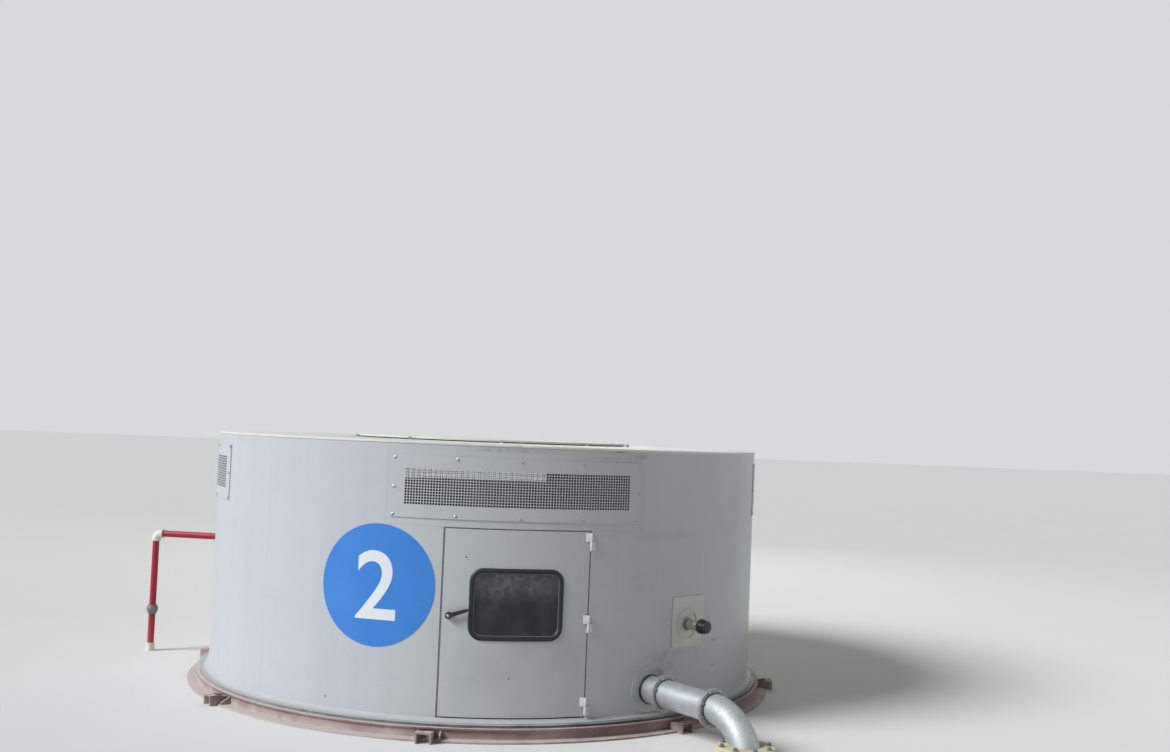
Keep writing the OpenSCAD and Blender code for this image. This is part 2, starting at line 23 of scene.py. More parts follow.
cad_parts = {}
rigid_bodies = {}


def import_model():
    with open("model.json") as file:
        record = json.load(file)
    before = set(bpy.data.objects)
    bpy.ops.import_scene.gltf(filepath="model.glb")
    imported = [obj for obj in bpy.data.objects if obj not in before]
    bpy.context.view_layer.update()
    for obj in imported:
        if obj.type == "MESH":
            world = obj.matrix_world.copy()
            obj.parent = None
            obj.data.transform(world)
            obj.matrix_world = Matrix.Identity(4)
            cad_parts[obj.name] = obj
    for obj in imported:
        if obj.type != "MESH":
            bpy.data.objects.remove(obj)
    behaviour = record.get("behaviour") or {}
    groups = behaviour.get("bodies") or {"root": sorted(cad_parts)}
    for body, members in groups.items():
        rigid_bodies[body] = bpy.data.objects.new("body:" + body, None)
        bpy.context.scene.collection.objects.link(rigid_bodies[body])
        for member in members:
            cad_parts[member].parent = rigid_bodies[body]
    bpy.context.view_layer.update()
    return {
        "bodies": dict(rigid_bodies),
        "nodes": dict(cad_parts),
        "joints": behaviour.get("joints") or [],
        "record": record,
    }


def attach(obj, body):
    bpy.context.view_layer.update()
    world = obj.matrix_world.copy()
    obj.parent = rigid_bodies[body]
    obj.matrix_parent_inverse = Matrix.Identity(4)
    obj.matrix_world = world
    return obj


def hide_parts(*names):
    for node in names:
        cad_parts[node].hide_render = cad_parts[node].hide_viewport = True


LOG = logging.getLogger("generator_housing")

Object = bpy.types.Object
Material = bpy.types.Material
Node = bpy.types.Node
Socket = bpy.types.NodeSocket
Colour = tuple[float, float, float]
Triple = tuple[float, float, float]
Outline = Sequence[tuple[float, float]]

# Doubles closer than this are merged
MERGE = 1e-5
# Edges between faces that turn by less than this, in degrees, are taken out of a solid's copy
FLAT_ANGLE = 0.4
# Gap round a moulded or threaded piece that slips over a pipe
SLIP = 0.0002
# The painted shade on the faces inside the drum fades out at about this depth in the wall and the roof plates
INSIDE_SHADE_EDGE = 0.001
# Stands up a piece that lies flat, so that its upper face looks towards -Y
UPRIGHT = Matrix.Rotation(math.radians(90), 4, "X")


# Sizes and places


@dataclass(frozen=True)
class Drum:
    """Sizes that several sub-assemblies share."""

    radius: float = 1.5
    wall: float = 0.006
    seat: float = 0.0003
    roof: float = 1.310
    roof_sheet: float = 0.010


DRUM = Drum()


class Body(Enum):
    """The bodies that the joints move against each other."""

    HOUSING = "housing"
    DOOR = "door"
    HANDLE = "handle"


class Element(Enum):
    """What is selected in edit mode, with its name in a mesh."""

    VERT = "verts"
    EDGE = "edges"
    FACE = "faces"


def srgb(red: int, green: int, blue: int) -> Colour:
    """Turns an 8-bit colour into the linear values that a shader takes.

    Args:
        red: red part, 0 to 255.
        green: green part, 0 to 255.
        blue: blue part, 0 to 255.

    Returns:
        The colour as linear values from 0 to 1.
    """

    def linear(value: int) -> float:
        """Turns one part of the colour into its linear value."""
        share = value / 255
        return share / 12.92 if share <= 0.04045 else ((share + 0.055) / 1.055) ** 2.4

    return linear(red), linear(green), linear(blue)


def turn(angle: float) -> Matrix:
    """Turns a piece modelled at the door's centre line to an angle on the drum."""
    return Matrix.Rotation(math.radians(angle), 4, "Z")


def spread(count: int, first: float = 0.0) -> list[Matrix]:
    """Gives equal turns all round, the first one to the angle given."""
    return [turn(first + index * 360 / count) for index in range(count)]


def outward(angle: float, radius: float, height: float) -> Matrix:
    """Places a piece modelled along +Z so that it points out of the drum.

    Args:
        angle: angle of the place on the drum.
        radius: distance of the piece's base from the drum's axis.
        height: height of the piece's own axis above the floor.

    Returns:
        The matrix that moves the piece there.
    """
    return turn(angle) @ Matrix.Translation((0, -radius, height)) @ UPRIGHT


# Bench tools


def clear_selection() -> None:
    """Leaves nothing selected, so that the next operator meets only its own piece."""
    if bpy.context.mode != "OBJECT":
        bpy.ops.object.mode_set(mode="OBJECT")
    bpy.ops.object.select_all(action="DESELECT")


def only(piece: Object) -> None:
    """Leaves one piece selected and active, in object mode.

    Args:
        piece: the piece.
    """
    clear_selection()
    piece.select_set(True)
    bpy.context.view_layer.objects.active = piece


@contextmanager
def editing(piece: Object, mode: Element = Element.FACE, everything: bool = False) -> Iterator[None]:
    """Opens a piece in edit mode and closes it again.

    Args:
        piece: the piece to open.
        mode: what is selected.
        everything: whether all of the piece starts selected.
    """
    only(piece)
    bpy.ops.object.mode_set(mode="EDIT")
    bpy.ops.mesh.select_mode(type=mode.name)
    bpy.ops.mesh.select_all(action="SELECT" if everything else "DESELECT")
    yield
    bpy.ops.object.mode_set(mode="OBJECT")


def pick(piece: Object, kind: Element, test: Callable[[Vector, Vector], bool]) -> None:
    """Selects the elements of an open piece whose middle and normal pass a test.

    Args:
        piece: the piece that is open in edit mode.
        kind: what is selected.
        test: takes an element's middle and its normal.
    """
    mesh = bmesh.from_edit_mesh(piece.data)
    for element in getattr(mesh, kind.value):
        if kind is Element.VERT:
            middle, normal = element.co, element.normal
        elif kind is Element.EDGE:
            middle = (element.verts[0].co + element.verts[1].co) / 2
            normal = (element.verts[0].normal + element.verts[1].normal) / 2
        else:
            middle, normal = element.calc_center_median(), element.normal
        element.select_set(bool(test(middle, normal)))
    mesh.select_flush_mode()
    bmesh.update_edit_mesh(piece.data)


def named(piece: Object, name: str) -> Object:
    """Names a piece and its mesh.

    Args:
        piece: the piece.
        name: the name.

    Returns:
        The piece.
    """
    piece.name = name
    piece.data.name = name
    return piece


def added(name: str) -> Object:
    """Names the primitive that was just added."""
    return named(bpy.context.active_object, name)


def place(piece: Object, matrix: Matrix) -> Object:
    """Moves a piece's mesh, so that its object stays at the origin.

    Args:
        piece: the piece.
        matrix: where it goes.

    Returns:
        The piece.
    """
    piece.data.transform(matrix)
    piece.data.update()
    return piece


def settle(piece: Object) -> Object:
    """Applies a piece's own place, turn and scale to its mesh.

    Args:
        piece: the piece.

    Returns:
        The piece.
    """
    only(piece)
    bpy.ops.object.transform_apply(location=True, rotation=True, scale=True)
    return piece


def cylinder(name: str, vertices: int, radius: float, depth: float, bottom: float = 0.0) -> Object:
    """Adds an upright cylinder on the Z axis.

    Args:
        name: the name of the piece.
        vertices: number of its sides.
        radius: its radius, over the corners.
        depth: its height.
        bottom: height of its underside.

    Returns:
        The cylinder.
    """
    clear_selection()
    bpy.ops.mesh.primitive_cylinder_add(
        vertices=vertices, radius=radius, depth=depth, location=(0, 0, bottom + depth / 2)
    )
    return settle(added(name))


def block(name: str, size: Triple) -> Object:
    """Adds a block with its middle at the origin.

    Args:
        name: the name of the piece.
        size: its lengths along X, Y and Z.

    Returns:
        The block.
    """
    clear_selection()
    bpy.ops.mesh.primitive_cube_add(size=1, scale=size)
    return settle(added(name))


def apply_modifiers(piece: Object) -> None:
    """Applies all modifiers of a piece in their order.

    Args:
        piece: the piece.
    """
    only(piece)
    for name in [modifier.name for modifier in piece.modifiers]:
        bpy.ops.object.modifier_apply(modifier=name)


def smooth(piece: Object, angle: float = 32) -> Object:
    """Shades a piece smooth, but for the corners over an angle.

    Args:
        piece: the piece.
        angle: the least angle of a corner that stays sharp.

    Returns:
        The piece.
    """
    only(piece)
    bpy.ops.object.shade_smooth_by_angle(angle=math.radians(angle))
    return piece


def ease(piece: Object, width: float, segments: int = 2, angle: float = 35) -> Object:
    """Rounds the corners of a piece.

    Args:
        piece: the piece.
        width: width of the rounding.
        segments: number of faces across the rounding.
        angle: the least angle of a corner that is rounded.

    Returns:
        The piece, shaded smooth.
    """
    bevel = piece.modifiers.new("eased_corners", "BEVEL")
    bevel.width = width
    bevel.segments = segments
    bevel.limit_method = "ANGLE"
    bevel.angle_limit = math.radians(angle)
    apply_modifiers(piece)
    return smooth(piece)


def joined(pieces: Sequence[Object], name: str) -> Object:
    """Joins pieces into one.

    Args:
        pieces: the pieces; the first one is kept.
        name: the name of the joined piece.

    Returns:
        The joined piece.
    """
    only(pieces[0])
    for piece in pieces[1:]:
        piece.select_set(True)
    if len(pieces) > 1:
        bpy.ops.object.join()
    return added(name)


def copied(piece: Object, matrix: Matrix, name: str) -> Object:
    """Copies a piece, with a mesh of its own, to another place.

    Args:
        piece: the piece.
        matrix: where the copy goes.
        name: the copy's name.

    Returns:
        The copy.
    """
    copy = piece.copy()
    copy.data = piece.data.copy()
    bpy.context.scene.collection.objects.link(copy)
    return place(named(copy, name), matrix)


def repeated(model: Object, places: Iterable[Matrix], name: str) -> Object:
    """Copies a small piece to several places and joins the copies.

    Args:
        model: the piece modelled once; it's removed.
        places: where the copies go.
        name: the name of the joined copies.

    Returns:
        The joined copies.
    """
    copies = [copied(model, matrix, name) for matrix in places]
    bpy.data.objects.remove(model)
    return joined(copies, name)


def turned(name: str, outline: Outline, steps: int = 64, closed: bool = False) -> Object:
    """Turns an outline round the Z axis, as on a lathe.

    Args:
        name: the name of the piece.
        outline: points as radius and height.
        steps: number of faces round the piece.
        closed: whether the outline's end is joined to its start.

    Returns:
        The turned piece.
    """
    points = list(outline) + ([outline[0]] if closed else [])
    radius, height = points[0]
    clear_selection()
    bpy.ops.mesh.primitive_plane_add(size=0.001, location=(radius, 0, height))
    piece = settle(added(name))
    with editing(piece, Element.VERT, everything=True):
        bpy.ops.mesh.merge(type="CENTER")
        for (r0, z0), (r1, z1) in zip(points, points[1:]):
            bpy.ops.mesh.extrude_vertices_move(TRANSFORM_OT_translate={"value": (r1 - r0, 0, z1 - z0)})
        bpy.ops.mesh.select_all(action="SELECT")
        bpy.ops.mesh.spin(steps=steps, angle=math.tau, center=(0, 0, 0), axis=(0, 0, 1))
        bpy.ops.mesh.select_all(action="SELECT")
        bpy.ops.mesh.remove_doubles(threshold=MERGE)
        bpy.ops.mesh.normals_make_consistent(inside=False)
    return smooth(piece)


def wrapped(piece: Object, radius: float) -> Object:
    """Bends a flat piece round the drum.

    The piece lies in the plane y = 0 with its middle at x = 0 and its outside towards -Y.

    Args:
        piece: the flat piece, its width measured along the wall.
        radius: the radius that the plane y = 0 gets.

    Returns:
        The bent piece, at the door's centre line.
    """
    across = [corner.co.x for corner in piece.data.vertices]
    bend = piece.modifiers.new("round_the_drum", "SIMPLE_DEFORM")
    bend.deform_method = "BEND"
    bend.deform_axis = "Z"
    bend.angle = (max(across) - min(across)) / radius
    apply_modifiers(piece)
    return place(piece, Matrix.Translation((0, -radius, 0)))


def refined(solid: Object, name: str, width: float, segments: int = 2) -> Object:
    """Copies a solid of the frame, merges its loose faces and eases its corners.

    Args:
        solid: the solid's object.
        name: the name of the copy.
        width: width of the eased corners.
        segments: number of faces across an eased corner.

    Returns:
        The copy.
    """
    mesh = solid.data.copy()
    piece = bpy.data.objects.new(name, mesh)
    bpy.context.scene.collection.objects.link(piece)
    only(piece)
    if mesh.has_custom_normals:
        bpy.ops.mesh.customdata_custom_splitnormals_clear()
    with editing(piece, Element.VERT, everything=True):
        bpy.ops.mesh.remove_doubles(threshold=MERGE)
        bpy.ops.mesh.dissolve_limited(angle_limit=math.radians(FLAT_ANGLE))
    return ease(piece, width, segments)


# Finishes


class Graph:
    """Builds the shader nodes of one material."""

    def __init__(self, name: str) -> None:
        """Starts an empty material.

        Args:
            name: the material's name.
        """
        self.material = bpy.data.materials.new(name)
        self.material.use_nodes = True
        self.tree = self.material.node_tree
        self.tree.nodes.clear()
        self.output = self.tree.nodes.new("ShaderNodeOutputMaterial")
        self.shader = self.tree.nodes.new("ShaderNodeBsdfPrincipled")
        self.tree.links.new(self.shader.outputs[0], self.output.inputs["Surface"])
        self.place = self.tree.nodes.new("ShaderNodeTexCoord").outputs["Object"]

    def add(self, kind: str, inputs: dict[str | int, object] | None = None, **settings: object) -> Node:
        """Adds a node.

        Args:
            kind: the node's type, without its prefix.
            inputs: values or sockets for the node's inputs.
            **settings: the node's own settings.

        Returns:
            The node.
        """
        node = self.tree.nodes.new("ShaderNode" + kind)
        for key, value in settings.items():
            setattr(node, key, value)
        for key, value in (inputs or {}).items():
            self.feed(node, key, value)
        return node

    def feed(self, node: Node, key: str | int, value: object) -> None:
        """Links a socket to a node's input, or sets the input's value.

        Args:
            node: the node.
            key: the input's name or number.
            value: a socket, a number or a colour.
        """
        if isinstance(value, bpy.types.NodeSocket):
            self.tree.links.new(value, node.inputs[key])
        elif isinstance(value, tuple) and len(value) == 3 and node.inputs[key].type == "RGBA":
            node.inputs[key].default_value = (*value, 1)
        else:
            node.inputs[key].default_value = value

    def stretched(self, scale: Triple) -> Socket:
        """Gives the object's coordinates stretched along the axes."""
        return self.add("Mapping", {"Vector": self.place, "Scale": scale}).outputs[0]

    def noise(self, scale: float, detail: float = 3, stretch: Triple | None = None) -> Socket:
        """Gives a noise pattern from 0 to 1."""
        vector = self.stretched(stretch) if stretch else self.place
        return self.add("TexNoise", {"Vector": vector, "Scale": scale, "Detail": detail}).outputs["Fac"]

    def ramp(self, value: Socket, start: float, end: float, low: float = 0, high: float = 1) -> Socket:
        """Maps a stretch of values to another, held at its ends."""
        inputs = {0: value, 1: start, 2: end, 3: low, 4: high}
        return self.add("MapRange", inputs, clamp=True).outputs[0]

    def patches(
        self, scale: float, detail: float, start: float, end: float,
        low: float = 0, high: float = 1, stretch: Triple | None = None,
    ) -> Socket:
        """Gives soft-edged patches.

        Args:
            scale: how small the patches are.
            detail: how ragged they are.
            start: the noise at which a patch begins.
            end: the noise at which it is full.
            low: the share between the patches.
            high: the share within them.
            stretch: scales along the axes, for long patches.

        Returns:
            The share at each place.
        """
        return self.ramp(self.noise(scale, detail, stretch), start, end, low, high)

    def maths(self, operation: str, *values: object) -> Socket:
        """Works out one step of maths on numbers or sockets."""
        return self.add("Math", dict(enumerate(values)), operation=operation).outputs[0]

    def plus(self, first: object, second: object) -> Socket:
        """Adds two values."""
        return self.maths("ADD", first, second)

    def times(self, first: object, second: object) -> Socket:
        """Multiplies two values."""
        return self.maths("MULTIPLY", first, second)

    def vector_maths(self, operation: str, *values: object) -> Node:
        """Works out one step of maths on vectors."""
        return self.add("VectorMath", dict(enumerate(values)), operation=operation)

    def mixed(self, share: object, first: object, second: object) -> Socket:
        """Mixes two colours.

        Args:
            share: the share of the second colour.
            first: the first colour.
            second: the second colour.

        Returns:
            The mixed colour.
        """
        node = self.add("Mix", data_type="RGBA")
        for key, value in ((0, share), (6, first), (7, second)):
            self.feed(node, key, value)
        return node.outputs[2]

    def height(self) -> Socket:
        """Gives the height above the floor."""
        return self.add("SeparateXYZ", {0: self.place}).outputs["Z"]

    def across(self) -> Socket:
        """Gives the distance to the right of the door's middle."""
        return self.add("SeparateXYZ", {0: self.place}).outputs["X"]

    def facing_up(self) -> Socket:
        """Gives how far a surface looks upwards, from -1 to 1."""
        normal = self.add("NewGeometry").outputs["Normal"]
        return self.add("SeparateXYZ", {0: normal}).outputs["Z"]

    def outside(self) -> Socket:
        """Gives 0 on the faces that look into the drum and 1 on all the others.

        Returns:
            That share at each place.
        """
        flat = self.vector_maths("MULTIPLY", self.place, (1, 1, 0)).outputs[0]
        radius = self.vector_maths("LENGTH", flat).outputs["Value"]
        inner = DRUM.radius - DRUM.wall + INSIDE_SHADE_EDGE
        across = self.ramp(radius, inner, inner + INSIDE_SHADE_EDGE)
        above = self.ramp(self.height(), DRUM.roof + INSIDE_SHADE_EDGE / 2, DRUM.roof + INSIDE_SHADE_EDGE)
        return self.maths("MAXIMUM", across, above)

    def bump(self, height: Socket, distance: float, strength: float, under: Socket | None = None) -> Socket:
        """Turns a pattern into a relief of the surface.

        Args:
            height: the pattern.
            distance: depth of the relief.
            strength: how strongly it shows.
            under: a coarser relief below it.

        Returns:
            The normal of the surface.
        """
        inputs: dict[str | int, object] = {"Height": height, "Distance": distance, "Strength": strength}
        if under is not None:
            inputs["Normal"] = under
        return self.add("Bump", inputs).outputs[0]

    def grain(
        self, scale: float, detail: float, distance: float, strength: float, under: Socket | None = None
    ) -> Socket:
        """Gives an even relief, as of a skin, a casting or a dented sheet.

        Args:
            scale: how fine the relief is.
            detail: how ragged it is.
            distance: its depth.
            strength: how strongly it shows.
            under: a coarser relief below it.

        Returns:
            The normal of the surface.
        """
        return self.bump(self.noise(scale, detail), distance, strength, under)

    def dress(self, **inputs: object) -> Material:
        """Feeds the shader's inputs.

        Args:
            **inputs: values or sockets by the inputs' names, with _ for a space.

        Returns:
            The material.
        """
        for key, value in inputs.items():
            self.feed(self.shader, key.replace("_", " "), value)
        return self.material


@dataclass(frozen=True)
class DustAndLeftLight:
    """Cement dust and grime that settles on a finish; where it is set, more of the dust colour towards the
    left is painted light from the left.
    """

    colour: Colour = srgb(172, 166, 158)
    on_top: float = 0.25
    under_height: float = 0.30
    near_floor: float = 0.35
    patch_scale: float = 9.0
    # Painted light from the left: extra share of the dust colour on the left side, where the light falls
    painted_light_left: float = 0.0
    left_end: float = -1.25
    right_end: float = 0.35
    most: float = 0.9

    def over(self, graph: Graph, colour: Socket) -> tuple[Socket, Socket]:
        """Lays the dust, and where it is set the painted light from the left, over a colour.

        Args:
            graph: the material's graph.
            colour: the clean colour.

        Returns:
            The colour with the dust and the painted light, and their share.
        """
        patches = graph.patches(self.patch_scale, 6, 0.35, 0.72)
        lying = graph.ramp(graph.facing_up(), 0.3, 0.95, 0, self.on_top)
        low = graph.ramp(graph.height(), 0, self.under_height, self.near_floor, 0)
        share = graph.times(graph.plus(lying, low), graph.ramp(patches, 0, 1, 0.45, 1.25))
        # Painted light: the dust colour's share grows towards the left, the side that the light falls on
        if self.painted_light_left:
            side = graph.ramp(graph.across(), self.left_end, self.right_end, 1 + self.painted_light_left, 1)
            share = graph.maths("MINIMUM", graph.times(share, side), self.most)
        return graph.mixed(share, colour, self.colour), share


@dataclass(frozen=True)
class GrimeAndShadeMark:
    """A dark mark at one place on the drum: grime rubbed into the paint, and under the roof's edge painted
    shadow.
    """

    angle: float
    height: float
    wide: float
    tall: float
    share: float
    grain: float = 60.0
    colour: Colour = srgb(92, 90, 82)

    def over(self, graph: Graph, colour: Socket) -> Socket:
        """Lays the mark over a colour.

        Args:
            graph: the material's graph.
            colour: the clean colour.

        Returns:
            The colour with the grime on it.
        """
        middle = turn(self.angle) @ Vector((0, -DRUM.radius, self.height))
        reach = (1 / self.wide, 1 / self.wide, 1 / self.tall)
        away = graph.vector_maths("SUBTRACT", graph.place, tuple(middle)).outputs[0]
        scaled = graph.vector_maths("MULTIPLY", away, reach).outputs[0]
        length = graph.vector_maths("LENGTH", scaled).outputs["Value"]
        near = graph.ramp(length, 0.35, 1, self.share, 0)
        broken = graph.patches(self.grain, 6, 0.36, 0.66)
        return graph.mixed(graph.times(near, broken), colour, self.colour)


@dataclass(frozen=True)
class SheetPaint:
    """Semi-gloss paint on rolled sheet steel, with faint streaks and smudges, and horizontal bands that are
    partly painted reflection.
    """

    name: str
    colour: Colour
    shade: Colour
    roughness: float = 0.34
    smudge_and_reflection: float = 0.30
    wave: float = 0.0006
    dust: DustAndLeftLight = DustAndLeftLight(on_top=0.10, under_height=0.16, near_floor=0.10)
    grime_and_shade_marks: tuple[GrimeAndShadeMark, ...] = ()
    inside_shade: Colour | None = None
    marked: Colour = srgb(112, 110, 104)

    def build(self) -> Material:
        """Makes the material, from its patches to its relief.

        Returns:
            The material.
        """
        graph = Graph(self.name)
        clouds = graph.patches(2.6, 5, 0.38, 0.68)
        streaks = graph.patches(14, 4, 0.45, 0.72, stretch=(1, 1, 0.07))
        # Horizontal bands: partly marks of the rolled sheet, partly painted reflection of the surroundings
        rolled_bands_and_reflection = graph.patches(7, 3, 0.52, 0.74, stretch=(0.25, 0.25, 2.2))
        marks = graph.patches(44, 6, 0.70, 0.735, 0, 0.20)
        soft = graph.times(graph.plus(clouds, streaks), self.smudge_and_reflection * 0.5)
        smudged_and_reflected = graph.plus(soft, graph.times(rolled_bands_and_reflection, self.smudge_and_reflection * 0.4))
        worn_and_shaded = graph.mixed(marks, graph.mixed(smudged_and_reflected, self.colour, self.shade), self.marked)
        for dark_mark in self.grime_and_shade_marks:
            worn_and_shaded = dark_mark.over(graph, worn_and_shaded)
        # Painted shade on the faces that look into the drum
        if self.inside_shade:
            worn_and_shaded = graph.mixed(graph.outside(), self.inside_shade, worn_and_shaded)
        dust_and_light, share = self.dust.over(graph, worn_and_shaded)
        gloss = graph.ramp(clouds, 0, 1, self.roughness - 0.05, self.roughness + 0.09)
        rough = graph.plus(gloss, graph.times(share, 0.5))
        peel = graph.grain(420, 2, 0.00012, 0.30, graph.grain(2.2, 2, self.wave * 10, 0.5))
        return graph.dress(Base_Color=dust_and_light, Roughness=rough, Normal=peel)


@dataclass(frozen=True)
class DustyPrimer:
    """Red-oxide primer that has chalked and taken up cement dust."""

    name: str = "curb_primer"
    primer: Colour = srgb(128, 96, 95)
    chalk: Colour = srgb(168, 146, 144)
    rust: Colour = srgb(98, 64, 62)
    # More of the dust colour towards the left: painted light from the left
    dust: DustAndLeftLight = DustAndLeftLight(
        srgb(190, 180, 174), on_top=0.62, under_height=0.06, near_floor=0.30, patch_scale=16, painted_light_left=2.4
    )

    def build(self) -> Material:
        """Makes the material, from its chalk and rust to its relief.

        Returns:
            The material.
        """
        graph = Graph(self.name)
        chalky = graph.mixed(graph.patches(5, 6, 0.34, 0.70), self.primer, self.chalk)
        rusty = graph.mixed(graph.patches(38, 7, 0.58, 0.68, 0, 0.55), chalky, self.rust)
        dust_and_light, share = self.dust.over(graph, rusty)
        rough = graph.ramp(share, 0, 1, 0.66, 0.95)
        relief = graph.grain(260, 5, 0.0004, 0.5, graph.grain(24, 5, 0.0012, 0.5))
        return graph.dress(Base_Color=dust_and_light, Roughness=rough, Normal=relief)


@dataclass(frozen=True)
class Galvanised:
    """Hot-dip galvanised steel with its crystal pattern."""

    name: str = "galvanised"
    bright: Colour = srgb(204, 208, 211)
    dull: Colour = srgb(160, 165, 169)
    crystal: float = 95.0
    roughness: float = 0.42
    metallic: float = 0.72
    dust: DustAndLeftLight = DustAndLeftLight(on_top=0.10, under_height=0.05, near_floor=0.05)

    def build(self) -> Material:
        """Makes the material, from its crystals to its dents.

        Returns:
            The material.
        """
        graph = Graph(self.name)
        warped = graph.add("TexNoise", {"Vector": graph.place, "Scale": 26.0, "Detail": 2.0}).outputs["Color"]
        bent = graph.mixed(0.035, graph.place, warped)
        crystals = graph.add("TexVoronoi", {"Vector": bent, "Scale": self.crystal}).outputs["Color"]
        tone = graph.add("SeparateColor", {0: crystals}).outputs[0]
        cloudy = graph.patches(8, 5, 0.3, 0.7, 0, 0.55)
        share = graph.plus(graph.times(tone, 0.28), cloudy)
        dust_and_light, settled = self.dust.over(graph, graph.mixed(share, self.bright, self.dull))
        sheen = graph.ramp(tone, 0, 1, self.roughness, self.roughness + 0.08)
        rough = graph.plus(sheen, graph.times(settled, 0.6))
        relief = graph.grain(60, 4, 0.0005, 0.35, graph.grain(24, 2, 0.0022, 0.35))
        return graph.dress(Base_Color=dust_and_light, Metallic=self.metallic, Roughness=rough, Normal=relief)


@dataclass(frozen=True)
class BareSteel:
    """Turned, ground or cast steel, from bright to dull."""

    name: str
    colour: Colour
    stain: Colour
    roughness: float = 0.34
    metallic: float = 0.9
    grain: float = 0.0002

    def build(self) -> Material:
        """Makes the material, with stains and fine lines along Z.

        Returns:
            The material.
        """
        graph = Graph(self.name)
        colour = graph.mixed(graph.patches(48, 6, 0.42, 0.72, 0, 0.65), self.colour, self.stain)
        low, high = self.roughness - 0.06, self.roughness + 0.12
        rough = graph.patches(900, 2, 0.3, 0.7, low, high, stretch=(1, 1, 0.04))
        relief = graph.grain(330, 4, self.grain, 0.4)
        return graph.dress(Base_Color=colour, Metallic=self.metallic, Roughness=rough, Normal=relief)


@dataclass(frozen=True)
class Moulded:
    """Rubber or moulded plastic with a fine skin."""

    name: str
    colour: Colour
    bloom: Colour
    roughness: float = 0.5
    skin: float = 0.0001
    dust: DustAndLeftLight | None = None

    def build(self) -> Material:
        """Makes the material, from its bloom to its skin.

        Returns:
            The material.
        """
        graph = Graph(self.name)
        colour = graph.mixed(graph.patches(22, 6, 0.42, 0.75, 0, 0.5), self.colour, self.bloom)
        if self.dust:
            colour, _ = self.dust.over(graph, colour)
        rough = graph.patches(60, 4, 0.3, 0.7, self.roughness - 0.06, self.roughness + 0.1)
        relief = graph.grain(700, 3, self.skin, 0.5)
        return graph.dress(Base_Color=colour, Roughness=rough, Normal=relief)


@dataclass(frozen=True)
class PipePaint:
    """Brushed enamel on a pipe, or old paint on a flange, with chips."""

    name: str
    colour: Colour
    faded: Colour
    chipped: Colour
    chips: float = 0.30
    roughness: float = 0.38
    dust: DustAndLeftLight = DustAndLeftLight(on_top=0.22, under_height=0.30, near_floor=0.20)

    def build(self) -> Material:
        """Makes the material, from its fading and chips to its brush marks.

        Returns:
            The material.
        """
        graph = Graph(self.name)
        coat_colour = graph.mixed(graph.patches(11, 5, 0.35, 0.7), self.colour, self.faded)
        chips = graph.patches(70, 8, 0.66, 0.69, 0, self.chips)
        dust_and_light, share = self.dust.over(graph, graph.mixed(chips, coat_colour, self.chipped))
        rough = graph.plus(self.roughness, graph.times(share, 0.6))
        brushed = graph.grain(150, 4, 0.0004, 0.45, graph.bump(chips, 0.0003, 0.4))
        return graph.dress(Base_Color=dust_and_light, Roughness=rough, Normal=brushed)


@dataclass(frozen=True)
class WindowGlass:
    """Dark tinted safety glass with smears of a dust film, and lighter towards its top, which is painted
    reflection.
    """

    name: str = "pane"
    tint: Colour = srgb(84, 86, 90)
    # Colour of the dust film, also used for the painted reflection in the pane's upper part
    film: Colour = srgb(132, 129, 134)
    reflection_start: float = 0.60
    reflection_full: float = 0.67
    clear: float = 0.94

    def build(self) -> Material:
        """Makes the material, from its dirt and painted reflection to its slight waves.

        Returns:
            The material.
        """
        graph = Graph(self.name)
        smears = graph.patches(9, 5, 0.42, 0.70, 0, 0.24, stretch=(1, 1, 0.45))
        # Painted reflection: the pane gets lighter towards its top
        upper_reflection = graph.ramp(graph.height(), self.reflection_start, self.reflection_full, 0.01, 0.40)
        dirt_and_reflection = graph.times(graph.plus(smears, upper_reflection), graph.patches(34, 5, 0.3, 0.6, 0.5, 1))
        colour = graph.mixed(dirt_and_reflection, self.tint, self.film)
        clear = graph.maths("SUBTRACT", self.clear, dirt_and_reflection)
        rough = graph.ramp(dirt_and_reflection, 0, 0.2, 0.03, 0.16)
        slight = graph.grain(5, 2, 0.0008, 0.2)
        return graph.dress(
            Base_Color=colour, Roughness=rough, Transmission_Weight=clear, IOR=1.45, Normal=slight
        )


@dataclass(frozen=True)
class Film:
    """Printed self-adhesive film."""

    name: str
    colour: Colour
    faded: Colour

    def build(self) -> Material:
        """Makes the material, from its fading to its skin.

        Returns:
            The material.
        """
        graph = Graph(self.name)
        colour = graph.mixed(graph.patches(5, 5, 0.3, 0.75, 0, 0.6), self.colour, self.faded)
        rough = graph.patches(18, 4, 0.3, 0.7, 0.26, 0.40)
        return graph.dress(Base_Color=colour, Roughness=rough, Normal=graph.grain(300, 2, 0.0001, 0.3))


class Look(Protocol):
    """What every finish can do."""

    name: str

    def build(self) -> Material:
        """Makes the material."""


# Slots of the materials that aren't named after their slot
SLOTS = {
    "lip_rubber": "rubber",
    "strip_rubber": "rubber",
    "hinge_steel": "bright_steel",
    "screw_steel": "bright_steel",
    "blue_film": "wall_paint",
    "white_film": "wall_paint",
}
# Painted shade: dark colour on the faces inside the drum, standing in for the shade inside the closed housing
PAINTED_INSIDE_SHADE = srgb(58, 60, 62)


